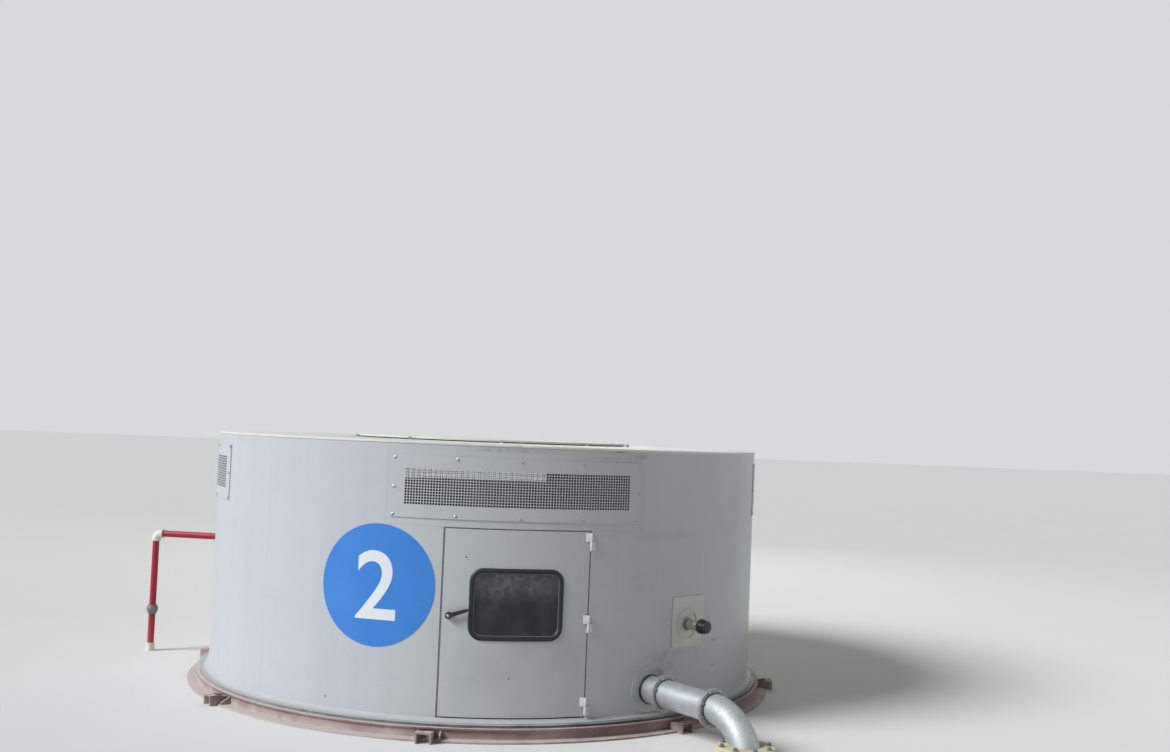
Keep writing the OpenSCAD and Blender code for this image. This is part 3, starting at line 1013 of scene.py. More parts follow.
class Finish(Enum):
    """Every finish on the housing."""

    WALL = SheetPaint(
        "wall_paint", srgb(186, 190, 192), srgb(166, 170, 172), smudge_and_reflection=0.26, inside_shade=PAINTED_INSIDE_SHADE,
        grime_and_shade_marks=(
            # Painted shadow: a darker band just under the roof's edge, where the gap under the roof plate is
            # in shade
            GrimeAndShadeMark(-1.5, 1.293, 0.24, 0.011, 0.42, 26.0),
            GrimeAndShadeMark(22.6, 1.288, 0.070, 0.020, 0.30, 40.0),
            # Painted shadow: a short, nearly black line in the gap under the roof's edge
            GrimeAndShadeMark(18.3, 1.307, 0.046, 0.007, 1.0, 400.0, srgb(48, 48, 46)),
            GrimeAndShadeMark(17.0, 1.276, 0.150, 0.006, 0.40, 30.0),
            GrimeAndShadeMark(25.0, 0.915, 0.42, 0.028, 0.14, 8.0),
            GrimeAndShadeMark(1.5, 0.31, 0.46, 0.20, 0.20, 5.0),
            GrimeAndShadeMark(44.7, 0.381, 0.030, 0.010, 0.90, 130.0),
            GrimeAndShadeMark(38.9, 0.325, 0.012, 0.050, 0.45, 60.0),
            GrimeAndShadeMark(44.3, 0.258, 0.024, 0.006, 0.85, 150.0),
            GrimeAndShadeMark(29.2, 0.325, 0.120, 0.070, 0.36, 17.0),
            GrimeAndShadeMark(34.0, 0.352, 0.090, 0.026, 0.26, 22.0),
            GrimeAndShadeMark(40.5, 0.470, 0.080, 0.050, 0.12, 20.0),
        ),
    )
    # Painted shade: a darker copy of the wall paint on the foot ring, whose upward-facing lip catches more
    # light; its dust lighter towards the left is painted light from the left
    FOOT = SheetPaint(
        "wall_paint", srgb(172, 176, 178), srgb(154, 157, 158), roughness=0.40, smudge_and_reflection=0.4,
        dust=DustAndLeftLight(srgb(190, 189, 186), on_top=0.26, under_height=0.08, near_floor=0.18, painted_light_left=1.1),
        grime_and_shade_marks=(GrimeAndShadeMark(-0.1, 0.078, 0.009, 0.016, 1.0, 300.0),),
    )
    # Painted light: a lighter copy of the wall paint on the door stop, brightening the shaded gap round the
    # door
    STOP = SheetPaint("wall_paint", srgb(214, 213, 206), srgb(198, 197, 188), roughness=0.45)
    PLATE = SheetPaint(
        "wall_paint", srgb(202, 205, 196), srgb(188, 191, 180), roughness=0.36, smudge_and_reflection=0.4, wave=0.0002
    )
    DISC = SheetPaint(
        "wall_paint", srgb(190, 193, 192), srgb(168, 170, 168), roughness=0.40, smudge_and_reflection=0.7, wave=0.0002,
        grime_and_shade_marks=(
            GrimeAndShadeMark(28.2, 0.268, 0.075, 0.040, 0.50, 34.0),
            GrimeAndShadeMark(24.0, 0.180, 0.05, 0.08, 0.30, 40.0),
        ),
    )
    ROOF = SheetPaint(
        "roof_paint", srgb(214, 213, 206), srgb(200, 198, 189), roughness=0.48, smudge_and_reflection=0.35,
        dust=DustAndLeftLight(srgb(190, 187, 178), on_top=0.20, under_height=0.1, near_floor=0.0),
        inside_shade=PAINTED_INSIDE_SHADE,
    )
    GRILLE = SheetPaint(
        "grille_paint", srgb(186, 190, 192), srgb(168, 172, 174), roughness=0.38, smudge_and_reflection=0.24, wave=0.0003
    )
    CURB = DustyPrimer()
    RUBBER = Moulded("rubber", srgb(15, 16, 18), srgb(29, 30, 32), roughness=0.48)
    # Painted highlight: the lip's light grey stands in for the highlight along the black gasket's inner edge
    LIP = Moulded("lip_rubber", srgb(98, 96, 98), srgb(132, 130, 132))
    # More of the dust colour towards the left on the strip: painted light from the left, the right stays dark
    # as in shade
    STRIP = Moulded(
        "strip_rubber", srgb(52, 52, 53), srgb(76, 76, 76), roughness=0.55, skin=0.0002,
        dust=DustAndLeftLight(srgb(182, 180, 180), on_top=0.45, under_height=0.1, near_floor=0.25, painted_light_left=5.0),
    )
    STEEL = BareSteel("bright_steel", srgb(196, 194, 188), srgb(132, 128, 120), roughness=0.26)
    HINGE = BareSteel(
        "hinge_steel", srgb(208, 210, 209), srgb(180, 182, 180), roughness=0.36, metallic=0.12
    )
    CAST = BareSteel(
        "dark_steel", srgb(128, 131, 131), srgb(92, 94, 92), roughness=0.5, metallic=0.6, grain=0.0004
    )
    RING = BareSteel(
        "dark_steel", srgb(164, 167, 167), srgb(126, 129, 127), roughness=0.5, metallic=0.45, grain=0.0003
    )
    # Painted shadow: dark weld beads that draw the shadowed gaps where the flange rings and the elbow meet
    # the pipe
    WELD = BareSteel(
        "dark_steel", srgb(84, 86, 86), srgb(60, 60, 58), roughness=0.6, metallic=0.5, grain=0.0004
    )
    SCREW = BareSteel(
        "screw_steel", srgb(176, 178, 178), srgb(112, 110, 106), roughness=0.32, metallic=0.85
    )
    ZINC = Galvanised()
    # Painted shade: a darker, duller copy of the galvanised finish on the elbow
    BEND_ZINC = Galvanised("galvanised", srgb(184, 188, 188), srgb(146, 150, 150), roughness=0.56)
    PANE = WindowGlass()
    BLACK = Moulded("black_polymer", srgb(26, 27, 30), srgb(48, 49, 52), roughness=0.36)
    PALE = PipePaint(
        "pale_paint", srgb(214, 204, 152), srgb(198, 188, 144), srgb(128, 108, 84),
        chips=0.5, roughness=0.55,
    )
    RED = PipePaint(
        "red_paint", srgb(170, 24, 48), srgb(150, 26, 46), srgb(104, 30, 32), chips=0.35, roughness=0.40,
        dust=DustAndLeftLight(on_top=0.14, under_height=0.20, near_floor=0.15),
    )
    WHITE = Moulded(
        "white_polymer", srgb(220, 219, 212), srgb(196, 193, 184), skin=0.0002,
        dust=DustAndLeftLight(on_top=0.25, under_height=0.12, near_floor=0.30),
    )
    BLUE_FILM = Film("blue_film", srgb(52, 124, 206), srgb(64, 134, 212))
    WHITE_FILM = Film("white_film", srgb(226, 230, 234), srgb(214, 219, 224))

    @property
    def look(self) -> Look:
        """The finish as a maker of its material."""
        return self.value

    @property
    def slot(self) -> str:
        """The record's slot that the finish stands for."""
        return SLOTS.get(self.look.name, self.look.name)


MATERIALS: dict[Finish, Material] = {}


def coat(piece: Object, finish: Finish) -> None:
    """Gives a piece its finish, made at its first use.

    Args:
        piece: the piece.
        finish: its finish.
    """
    if finish not in MATERIALS:
        MATERIALS[finish] = finish.look.build()
    piece.data.materials.clear()
    piece.data.materials.append(MATERIALS[finish])


def mount(piece: Object, finish: Finish, body: Body, *stands_for: str) -> None:
    """Finishes a new piece and fixes it to its body.

    Args:
        piece: the piece, in place.
        finish: its finish, which gives its slot too.
        body: the body that it moves with.
        *stands_for: the solids that it replaces.
    """
    coat(piece, finish)
    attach(piece, body.value)
    if stands_for:
        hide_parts(*stands_for)
    LOG.info("%s: %d faces on %s", piece.name, len(piece.data.polygons), body.value)


# Small hardware


def looks_up(middle: Vector, normal: Vector) -> bool:
    """Tells whether a face looks upwards."""
    return normal.z > 0.9


@dataclass(frozen=True)
class HexBolt:
    """Hexagon bolt head, measured across its corners, on its washer. It points along +Z."""

    across: float
    head: float
    washer: float
    below: float = 0.004
    sheet: float = 0.0018
    shank_share: float = 0.3
    dome_inset: float = 0.07
    dome_rise: float = 0.12

    def model(self) -> Object:
        """Models the bolt.

        Returns:
            The bolt, its washer's underside at z = 0.
        """
        washer = ease(cylinder("washer", 20, self.washer / 2, self.sheet), width=0.0004, segments=1)
        head = cylinder("head", 6, self.across / 2, self.head, self.sheet)
        with editing(head):
            pick(head, Element.FACE, looks_up)
            bpy.ops.mesh.inset(thickness=self.across * self.dome_inset)
            bpy.ops.transform.translate(value=(0, 0, self.head * self.dome_rise))
        smooth(head)
        shank = cylinder("shank", 12, self.across * self.shank_share, self.below, -self.below)
        return joined([washer, head, shank], "hex_bolt")


@dataclass(frozen=True)
class ButtonScrew:
    """Round-headed screw with a socket, pointing along +Z."""

    diameter: float
    height: float
    depth: float = 0.003
    rim: float = 0.45
    dome: tuple[tuple[float, float], ...] = ((0.13, 0.28), (0.16, 0.18), (0.10, 0.09))
    socket: float = 0.5

    def model(self) -> Object:
        """Models the screw.

        Returns:
            The screw, its head's underside at z = 0.
        """

        def underside(middle: Vector, normal: Vector) -> bool:
            """Tells whether a face is the head's underside."""
            return normal.z < -0.9 and middle.z < 0.0001

        screw = cylinder("button_screw", 18, self.diameter / 2, self.height * self.rim)
        with editing(screw):
            pick(screw, Element.FACE, looks_up)
            for inset, rise in self.dome:
                bpy.ops.mesh.inset(thickness=self.diameter * inset)
                bpy.ops.transform.translate(value=(0, 0, self.height * rise))
            down = (0, 0, -self.height * self.socket)
            bpy.ops.mesh.extrude_region_move(TRANSFORM_OT_translate={"value": down})
            bpy.ops.mesh.select_all(action="DESELECT")
            pick(screw, Element.FACE, underside)
            bpy.ops.mesh.extrude_region_move(TRANSFORM_OT_translate={"value": (0, 0, -self.depth)})
        return smooth(screw, angle=40)


@dataclass(frozen=True)
class WeldBead:
    """Rippled bead of a round weld, about the Z axis."""

    radius: float
    thickness: float
    steps: int = 96
    ripple: int = 3
    drawn_in: float = 0.22
    flattened: float = 0.72

    def model(self) -> Object:
        """Models the bead, with every third ring of its corners drawn in.

        Returns:
            The bead.
        """
        step = math.tau / self.steps

        def rippled(middle: Vector, normal: Vector) -> bool:
            """Tells whether a corner is on a ring that is drawn in."""
            return round(math.atan2(middle.y, middle.x) / step) % self.ripple == 0

        clear_selection()
        bpy.ops.mesh.primitive_torus_add(
            major_radius=self.radius, minor_radius=self.thickness,
            major_segments=self.steps, minor_segments=8,
        )
        bead = settle(added("weld"))
        with editing(bead, Element.VERT):
            pick(bead, Element.VERT, rippled)
            share = 1 - self.thickness * self.drawn_in / self.radius
            bpy.ops.transform.resize(value=(share, share, self.flattened))
        return smooth(bead, angle=60)


# Sub-assemblies


@dataclass
class SubAssembly:
    """A group of pieces that belong together, with the frame that holds their solids."""

    frame: dict

    def paint(self, finish: Finish, *names: str) -> None:
        """Gives solids of the frame their finish.

        Args:
            finish: the finish.
            *names: the solids' names.
        """
        for name in names:
            coat(self.frame["nodes"][name], finish)
            LOG.info("%s: %s finish", name, finish.name.lower())

    def ease_solid(
        self, name: str, finish: Finish, corners: float, body: Body = Body.HOUSING, segments: int = 2
    ) -> None:
        """Puts a copy with eased corners in the place of a solid.

        Args:
            name: the solid's name.
            finish: the copy's finish.
            corners: width of its eased corners.
            body: the body that it moves with.
            segments: number of faces across an eased corner.
        """
        piece = refined(self.frame["nodes"][name], name + "_eased", corners, segments)
        mount(piece, finish, body, name)


@dataclass
class CurbRing(SubAssembly):
    """Channel-section ring on the floor, its cleats and the rubber strip."""

    cleats: int = 8
    first_cleat: float = -14.0
    flange_edge: float = 1.605
    flange_top: float = 0.008
    web_face: float = 1.551
    web_top: float = 0.048
    gusset_step: float = 0.062
    gusset_sheet: float = 0.007
    gusset_back: float = 0.006
    gusset_below: float = 0.004
    gusset_slope: float = 0.72
    anchors: int = 12
    anchor_radius: float = 1.4225
    anchor_nut: HexBolt = HexBolt(across=0.033, head=0.016, washer=0.040, below=0.006)

    def build(self) -> None:
        """Builds and finishes the ring."""
        for name in ("base_ring_front", "base_ring_back", "curb_cleats"):
            self.ease_solid(name, Finish.CURB, corners=0.0012)
        self.paint(Finish.STRIP, "rubber_strip")
        self.gussets()
        self.foundation_nuts()

    def gussets(self) -> None:
        """Adds a small gusset beside each cleat, between the web and the flange."""
        reach = self.flange_edge - self.web_face - self.gusset_back
        rise = self.web_top - self.flange_top - self.gusset_below
        centre = Vector((0, -self.web_face - reach / 2, self.flange_top + rise / 2))

        def outer_top(middle: Vector, normal: Vector) -> bool:
            """Tells whether a corner is the gusset's upper outer one."""
            return middle.y < centre.y and middle.z > centre.z

        model = place(block("gusset", (self.gusset_sheet, reach, rise)), Matrix.Translation(centre))
        with editing(model, Element.VERT):
            pick(model, Element.VERT, outer_top)
            bpy.ops.transform.translate(value=(0, 0, -rise * self.gusset_slope))
        ease(model, width=0.0008, segments=1)
        beside = Matrix.Translation((self.gusset_step, 0, 0))
        places = [way @ beside for way in spread(self.cleats, self.first_cleat)]
        mount(repeated(model, places, "curb_gussets"), Finish.CURB, Body.HOUSING)

    def foundation_nuts(self) -> None:
        """Adds the nuts of the foundation bolts inside the drum."""
        hole = Matrix.Translation((0, -self.anchor_radius, self.flange_top))
        places = [way @ hole for way in spread(self.anchors, 180 / self.anchors)]
        nuts = repeated(self.anchor_nut.model(), places, "foundation_nuts")
        mount(nuts, Finish.CAST, Body.HOUSING)


@dataclass
class DrumShell(SubAssembly):
    """Wall panels, foot ring, door stop and the ring under the roof."""

    plug: ButtonScrew = ButtonScrew(diameter=0.009, height=0.0016)
    plugs: tuple[tuple[Body, float, float], ...] = (
        (Body.DOOR, -9.0, 0.808),
        (Body.DOOR, -0.8, 0.269),
        (Body.HOUSING, -33.8, 0.133),
    )
    panels: tuple[str, ...] = (
        "wall_over_door", "wall_front_right", "wall_front_left", "wall_right", "wall_back", "wall_left",
    )

    def build(self) -> None:
        """Builds and finishes the shell."""
        self.paint(Finish.WALL, *self.panels, "top_ring")
        self.paint(Finish.STOP, "door_stop")
        self.paint(Finish.FOOT, "foot_ring")
        self.plug_marks()

    def plug_marks(self) -> None:
        """Adds the small plugs that close old holes in the wall and the door."""
        for body in (Body.DOOR, Body.HOUSING):
            places = [
                outward(angle, DRUM.radius, height) for where, angle, height in self.plugs if where is body
            ]
            plugs = repeated(self.plug.model(), places, body.value + "_plugs")
            mount(plugs, Finish.CAST, body)


@dataclass
class Roof(SubAssembly):
    """Roof plates, round cover, its seal and its bolts."""

    cover_bolts: int = 10
    first_bolt: float = -38.0
    bolt_radius: float = 0.790
    bolt: HexBolt = HexBolt(across=0.019, head=0.0108, washer=0.024)

    def build(self) -> None:
        """Builds and finishes the roof."""
        for part in ("front_right", "back_right", "back_left", "front_left", "cover"):
            self.ease_solid("roof_" + part, Finish.ROOF, corners=0.0016)
        self.paint(Finish.RUBBER, "roof_seal")
        self.clamping_bolts()

    def clamping_bolts(self) -> None:
        """Adds the bolts that stand round the cover's rim."""
        hole = Matrix.Translation((0, -self.bolt_radius, DRUM.roof + DRUM.roof_sheet))
        places = [way @ hole for way in spread(self.cover_bolts, self.first_bolt)]
        mount(repeated(self.bolt.model(), places, "cover_bolts"), Finish.SCREW, Body.HOUSING)


@dataclass
class Grilles(SubAssembly):
    """The four perforated panels under the roof, with their screws."""

    half_angle: float = 22.8
    field_half: float = 20.4
    low: float = 0.975
    high: float = 1.257
    field_low: float = 1.034
    field_high: float = 1.198
    columns: int = 81
    rows: int = 13
    rib: float = 0.0017
    sheet: float = 0.004
    end_strips: int = 4
    screw: ButtonScrew = ButtonScrew(diameter=0.0135, height=0.0042)
    screw_angles: tuple[float, ...] = (-22.35, -11.17, 0.0, 11.17, 22.35)
    screw_heights: tuple[float, ...] = (0.987, 1.112, 1.245)

    def build(self) -> None:
        """Builds the panel once and copies it to the four sides."""
        panel = self.panel()
        for angle, side in ((0, "front"), (90, "right"), (180, "back"), (270, "left")):
            copy = copied(panel, turn(angle), "grille_panel_" + side)
            mount(copy, Finish.GRILLE, Body.HOUSING, "grille_" + side)
            self.screws(angle, side)
        bpy.data.objects.remove(panel)

    def panel(self) -> Object:
        """Models the panel flat, with its square holes, and bends it to the wall.

        Returns:
            The panel, at the door's centre line.
        """
        inner = DRUM.radius + DRUM.seat
        width = math.radians(2 * self.field_half) * inner
        end = math.radians(self.half_angle - self.field_half) * inner
        tall = self.field_high - self.field_low
        middle = (self.field_high + self.field_low) / 2
        clear_selection()
        bpy.ops.mesh.primitive_grid_add(x_subdivisions=self.columns, y_subdivisions=self.rows, size=1)
        panel = added("grille_panel")
        place(panel, UPRIGHT @ Matrix.Diagonal((width, tall, 1, 1)))
        place(panel, Matrix.Translation((0, 0, middle)))
        with editing(panel, everything=True):
            bpy.ops.mesh.inset(use_individual=True, thickness=self.rib)
            bpy.ops.mesh.delete(type="FACE")
        self.border(panel, width / 2, end, (1, 0, 0), self.end_strips)
        self.border(panel, width / 2, end, (-1, 0, 0), self.end_strips)
        self.border(panel, tall / 2 + middle, self.high - self.field_high, (0, 0, 1))
        self.border(panel, tall / 2 - middle, self.field_low - self.low, (0, 0, -1))
        with editing(panel, everything=True):
            bpy.ops.mesh.normals_make_consistent(inside=False)
        thick = panel.modifiers.new("sheet", "SOLIDIFY")
        thick.thickness = self.sheet
        thick.offset = 0
        apply_modifiers(panel)
        place(panel, Matrix.Translation((0, -self.sheet / 2, 0)))
        return smooth(wrapped(panel, inner))

    def border(self, panel: Object, edge: float, reach: float, way: Triple, strips: int = 1) -> None:
        """Draws the panel's outermost edges on one side out to its border.

        Args:
            panel: the flat panel.
            edge: distance of those edges from the origin, along the way out.
            reach: width of the border.
            way: direction of the border.
            strips: number of strips in the border.
        """
        direction = Vector(way)

        def outermost(middle: Vector, normal: Vector) -> bool:
            """Tells whether an edge is one of the outermost on this side."""
            return middle.dot(direction) > edge - 1e-4

        with editing(panel, Element.EDGE):
            pick(panel, Element.EDGE, outermost)
            for _ in range(strips):
                bpy.ops.mesh.extrude_region_move(
                    TRANSFORM_OT_translate={"value": direction * (reach / strips)}
                )

    def screws(self, angle: float, side: str) -> None:
        """Adds the screws of one panel, with two in its middle row.

        Args:
            angle: angle of the panel's middle.
            side: the name of the side.
        """
        face = DRUM.radius + DRUM.seat + self.sheet
        ends = (self.screw_angles[0], self.screw_angles[-1])
        places = [
            outward(angle + across, face, height)
            for height in self.screw_heights
            for across in self.screw_angles
            if height != self.screw_heights[1] or across in ends
        ]
        screws = repeated(self.screw.model(), places, "grille_screws_" + side)
        mount(screws, Finish.SCREW, Body.HOUSING)


@dataclass
class Door(SubAssembly):
    """Hinged door with its window, handle and hinges."""

    window_angle: float = 0.057
    window_height: float = 0.598
    window_width: float = 0.434
    window_tall: float = 0.327
    gasket_face: float = 0.023
    gasket_depth: float = 0.020
    gasket_middle: float = 1.498
    corner: float = 0.062
    lip: float = 0.0024
    lip_overlap: float = 0.0004
    lip_proud: float = 0.0002
    corner_steps: int = 12
    level_cuts: int = 16
    handle_angle: float = -11.574
    handle_height: float = 0.544
    spindle_end: float = 1.525
    button: tuple[tuple[float, float], ...] = (
        (0, 0.0022), (0.003, 0.0021), (0.0058, 0.0013), (0.0070, 0.0002), (0.0072, -0.0012), (0, -0.0012),
    )

    def build(self) -> None:
        """Builds and finishes the door."""
        self.paint(Finish.WALL, "door_panel")
        self.paint(Finish.PANE, "window_pane")
        self.ease_solid("door_knuckles", Finish.HINGE, corners=0.0009, body=Body.DOOR)
        self.ease_solid("frame_knuckles", Finish.HINGE, corners=0.0009)
        self.gasket()
        self.handle()

    def loop(self, name: str, inset: float, radius: float) -> Object:
        """Models a round bar that follows the window's outline, in the plane y = 0.

        Args:
            name: the name of the piece.
            inset: distance of the bar's middle inside the gasket's outline.
            radius: radius of the bar.

        Returns:
            The flat loop, its middle at the origin.
        """
        wide, tall = self.window_width - 2 * inset, self.window_tall - 2 * inset
        corner = self.corner - inset

        def level(middle: Vector, normal: Vector) -> bool:
            """Tells whether an edge is the top or the bottom one, which follow the wall."""
            return abs(middle.x) < wide / 2 - corner - 0.001

        clear_selection()
        bpy.ops.mesh.primitive_plane_add(size=1)
        bar = place(added(name), UPRIGHT @ Matrix.Diagonal((wide, tall, 1, 1)))
        with editing(bar, Element.VERT, everything=True):
            bpy.ops.mesh.bevel(offset=corner, segments=self.corner_steps, affect="VERTICES")
            bpy.ops.mesh.delete(type="ONLY_FACE")
            bpy.ops.mesh.select_mode(type="EDGE")
            pick(bar, Element.EDGE, level)
            bpy.ops.mesh.subdivide(number_cuts=self.level_cuts)
        only(bar)
        bpy.ops.object.convert(target="CURVE")
        bar.data.dimensions = "3D"
        bar.data.bevel_depth = radius
        bar.data.bevel_resolution = 4
        bpy.ops.object.convert(target="MESH")
        with editing(bar, everything=True):
            bpy.ops.mesh.remove_doubles(threshold=MERGE)
            bpy.ops.mesh.normals_make_consistent(inside=False)
        return bar

    def gasket(self) -> None:
        """Adds the rubber gasket and the filler lip inside it."""
        half = self.gasket_face / 2
        at_window = turn(self.window_angle) @ Matrix.Translation((0, 0, self.window_height))
        gasket = self.loop("gasket", half, half)
        place(gasket, Matrix.Diagonal((1, self.gasket_depth / self.gasket_face, 1, 1)))
        place(wrapped(gasket, self.gasket_middle), at_window)
        mount(smooth(gasket, angle=60), Finish.RUBBER, Body.DOOR, "window_gasket")
        # The lip's light grey finish is painted highlight along the gasket's inner edge
        lip = self.loop("gasket_lip", self.gasket_face - self.lip_overlap, self.lip)
        place(wrapped(lip, DRUM.radius + self.lip_proud), at_window)
        mount(smooth(lip, angle=60), Finish.LIP, Body.DOOR)

    def handle(self) -> None:
        """Eases the handle's corners and adds the metal end of its spindle."""
        self.ease_solid("handle_base", Finish.BLACK, corners=0.0016, body=Body.DOOR)
        self.ease_solid("handle_lever", Finish.BLACK, corners=0.0022, body=Body.HANDLE, segments=3)
        button = turned("handle_button", self.button, steps=32)
        place(button, outward(self.handle_angle, self.spindle_end, self.handle_height))
        mount(button, Finish.SCREW, Body.HANDLE)


@dataclass
class HoseNozzle(SubAssembly):
    """Short hose nozzle with its plate, gland and black cap."""

    angle: float = 35.5
    height: float = 0.482
    pipe_radius: float = 0.025
    plate_face: float = 1.5043
    gland_radius: float = 0.032
    gland_height: float = 0.0105
    ribs: int = 10
    rib_width: float = 0.0054
    rib_depth: float = 0.0028
    rib_share: float = 0.78
    collar_radius: float = 0.034
    collar_start: float = 1.585
    collar_length: float = 0.020

    def build(self) -> None:
        """Builds and finishes the nozzle."""
        self.ease_solid("nozzle_plate", Finish.PLATE, corners=0.0012)
        self.paint(Finish.STEEL, "nozzle_pipe")
        self.ease_solid("nozzle_cap", Finish.BLACK, corners=0.0010)
        self.gland()
        self.grip_ribs()

    def gland(self) -> None:
        """Adds the dark gland at the pipe's foot."""
        inner, outer, top = self.pipe_radius + SLIP, self.gland_radius, self.gland_height
        outline = ((inner, 0), (outer, 0), (outer, 0.006), (outer - 0.003, top - 0.001), (inner, top))
        gland = turned("nozzle_gland", outline, steps=48, closed=True)
        place(gland, outward(self.angle, self.plate_face, self.height))
        mount(gland, Finish.BLACK, Body.HOUSING)

    def grip_ribs(self) -> None:
        """Adds the moulded grip ribs round the cap's collar."""
        rib = block("grip_rib", (self.rib_width, self.rib_depth, self.collar_length * self.rib_share))
        ease(rib, width=0.0011)
        place(rib, Matrix.Translation((0, self.collar_radius + 0.0004, self.collar_length / 2)))
        base = outward(self.angle, self.collar_start, self.height)
        places = [base @ way for way in spread(self.ribs)]
        mount(repeated(rib, places, "nozzle_grip_ribs"), Finish.BLACK, Body.HOUSING)


@dataclass
class AirPipe(SubAssembly):
    """Galvanised air pipe with its flanges, welds and bolts."""

    angle: float = 26.6
    height: float = 0.192
    radius: float = 0.0645
    run: float = 0.450
    disc_face: float = 0.0043
    clamps: tuple[float, float] = (0.112, 0.439)
    clamp_length: float = 0.016
    clamp_bolt: HexBolt = HexBolt(across=0.0115, head=0.0060, washer=0.0130)
    bolt_circle: float = 0.0765
    bolts: int = 8
    weld: float = 0.0028
    leg: float = 2.155599
    flange_top: float = 0.075
    flange_circle: float = 0.1085
    flange_bolt: HexBolt = HexBolt(across=0.019, head=0.010, washer=0.024)

    def build(self) -> None:
        """Builds and finishes the air pipe."""
        self.paint(Finish.ZINC, "air_pipe")
        self.paint(Finish.BEND_ZINC, "air_elbow")
        self.paint(Finish.DISC, "air_pipe_collar")
        self.ease_solid("clamp_rings", Finish.RING, corners=0.0010)
        self.ease_solid("floor_flange", Finish.PALE, corners=0.0020)
        self.wall_seal()
        self.clamp_bolts()
        self.welds()
        self.flange_bolts()

    def wall_seal(self) -> None:
        """Adds the dark sealing ring where the pipe enters the wall."""
        inner = self.radius + DRUM.seat
        steps = ((0, 0), (0.005, 0), (0.0048, 0.006), (0.003, 0.009), (0, 0.010))
        outline = [(inner + out, height) for out, height in steps]
        seal = turned("air_pipe_seal", outline, steps=72, closed=True)
        place(seal, self.on_pipe(self.disc_face))
        mount(seal, Finish.RUBBER, Body.HOUSING)

    def on_pipe(self, reach: float) -> Matrix:
        """Gives the place on the pipe's axis at a distance from the wall."""
        return outward(self.angle, DRUM.radius + reach, self.height)

    def clamp_bolts(self) -> None:
        """Adds a bolt head and a nut at each hole of the two flange pairs."""
        hole = Matrix.Translation((0, self.bolt_circle, 0))
        sides = ((1, Matrix.Identity(4)), (-1, Matrix.Rotation(math.pi, 4, "X")))
        places = [
            self.on_pipe(middle + side * self.clamp_length / 2) @ way @ hole @ facing
            for middle in self.clamps
            for way in spread(self.bolts, 180 / self.bolts)
            for side, facing in sides
        ]
        bolts = repeated(self.clamp_bolt.model(), places, "clamp_bolts")
        mount(bolts, Finish.SCREW, Body.HOUSING)

    def welds(self) -> None:
        """Adds the welds where flanges and elbow meet the pipe; their dark finish is painted shadow of these
        joints.
        """
        half = self.clamp_length / 2 + 0.001
        near = [middle + side * half for middle in self.clamps for side in (-1, 1)]
        bead = WeldBead(self.radius + 0.0004, self.weld)
        beads = [place(bead.model(), self.on_pipe(reach)) for reach in (*near, self.run)]
        mount(joined(beads, "air_pipe_welds"), Finish.WELD, Body.HOUSING)

    def flange_bolts(self) -> None:
        """Adds the bolts of the flange near the floor."""
        centre = turn(self.angle) @ Matrix.Translation((0, -self.leg, self.flange_top))
        hole = Matrix.Translation((0, self.flange_circle, 0))
        places = [centre @ way @ hole for way in spread(self.bolts, 180 / self.bolts)]
        bolts = repeated(self.flange_bolt.model(), places, "floor_flange_bolts")
        mount(bolts, Finish.CAST, Body.HOUSING)


@dataclass
class WaterPipe(SubAssembly):
    """Red water pipe with its white fittings and grey union."""

    angle: float = -107.0
    riser: float = 2.005
    run_height: float = 0.690
    radius: float = 0.019
    bend: float = 0.032
    rim: float = 0.0075
    rim_length: float = 0.014
    rim_start: float = 0.012

    def build(self) -> None:
        """Builds and finishes the water pipe."""
        self.paint(Finish.RED, "water_riser", "water_run")
        self.paint(Finish.WHITE, "water_fittings")
        self.ease_solid("water_union", Finish.CAST, corners=0.0015)
        self.sockets()
        self.wall_ring()

    def collar(self) -> Object:
        """Models the thick rim of a fitting, along +Z.

        Returns:
            The rim, with its start at z = 0.
        """
        inner, outer, end = self.radius + SLIP, self.radius + self.rim, self.rim_length
        outline = (
            (inner, 0), (outer - 0.0015, 0), (outer, 0.002), (outer, end - 0.002), (outer - 0.0015, end),
            (inner, end),
        )
        return turned("elbow_rim", outline, steps=40, closed=True)

    def sockets(self) -> None:
        """Adds the rims of the white elbow's two sockets."""
        back = self.bend + self.rim_start
        below = turn(self.angle) @ Matrix.Translation((0, -self.riser, self.run_height - back))
        beside = outward(self.angle, self.riser - back, self.run_height)
        rims = [place(self.collar(), where) for where in (below, beside)]
        mount(joined(rims, "water_elbow_rims"), Finish.WHITE, Body.HOUSING)

    def wall_ring(self) -> None:
        """Adds the ring that closes the hole round the pipe in the wall."""
        inner = self.radius + DRUM.seat
        steps = ((0, 0), (0.014, 0), (0.013, 0.003), (0.004, 0.006), (0, 0.006))
        outline = [(inner + out, height) for out, height in steps]
        ring = turned("water_wall_ring", outline, steps=40, closed=True)
        place(ring, outward(self.angle, DRUM.radius + DRUM.seat, self.run_height))
        mount(ring, Finish.RUBBER, Body.HOUSING)


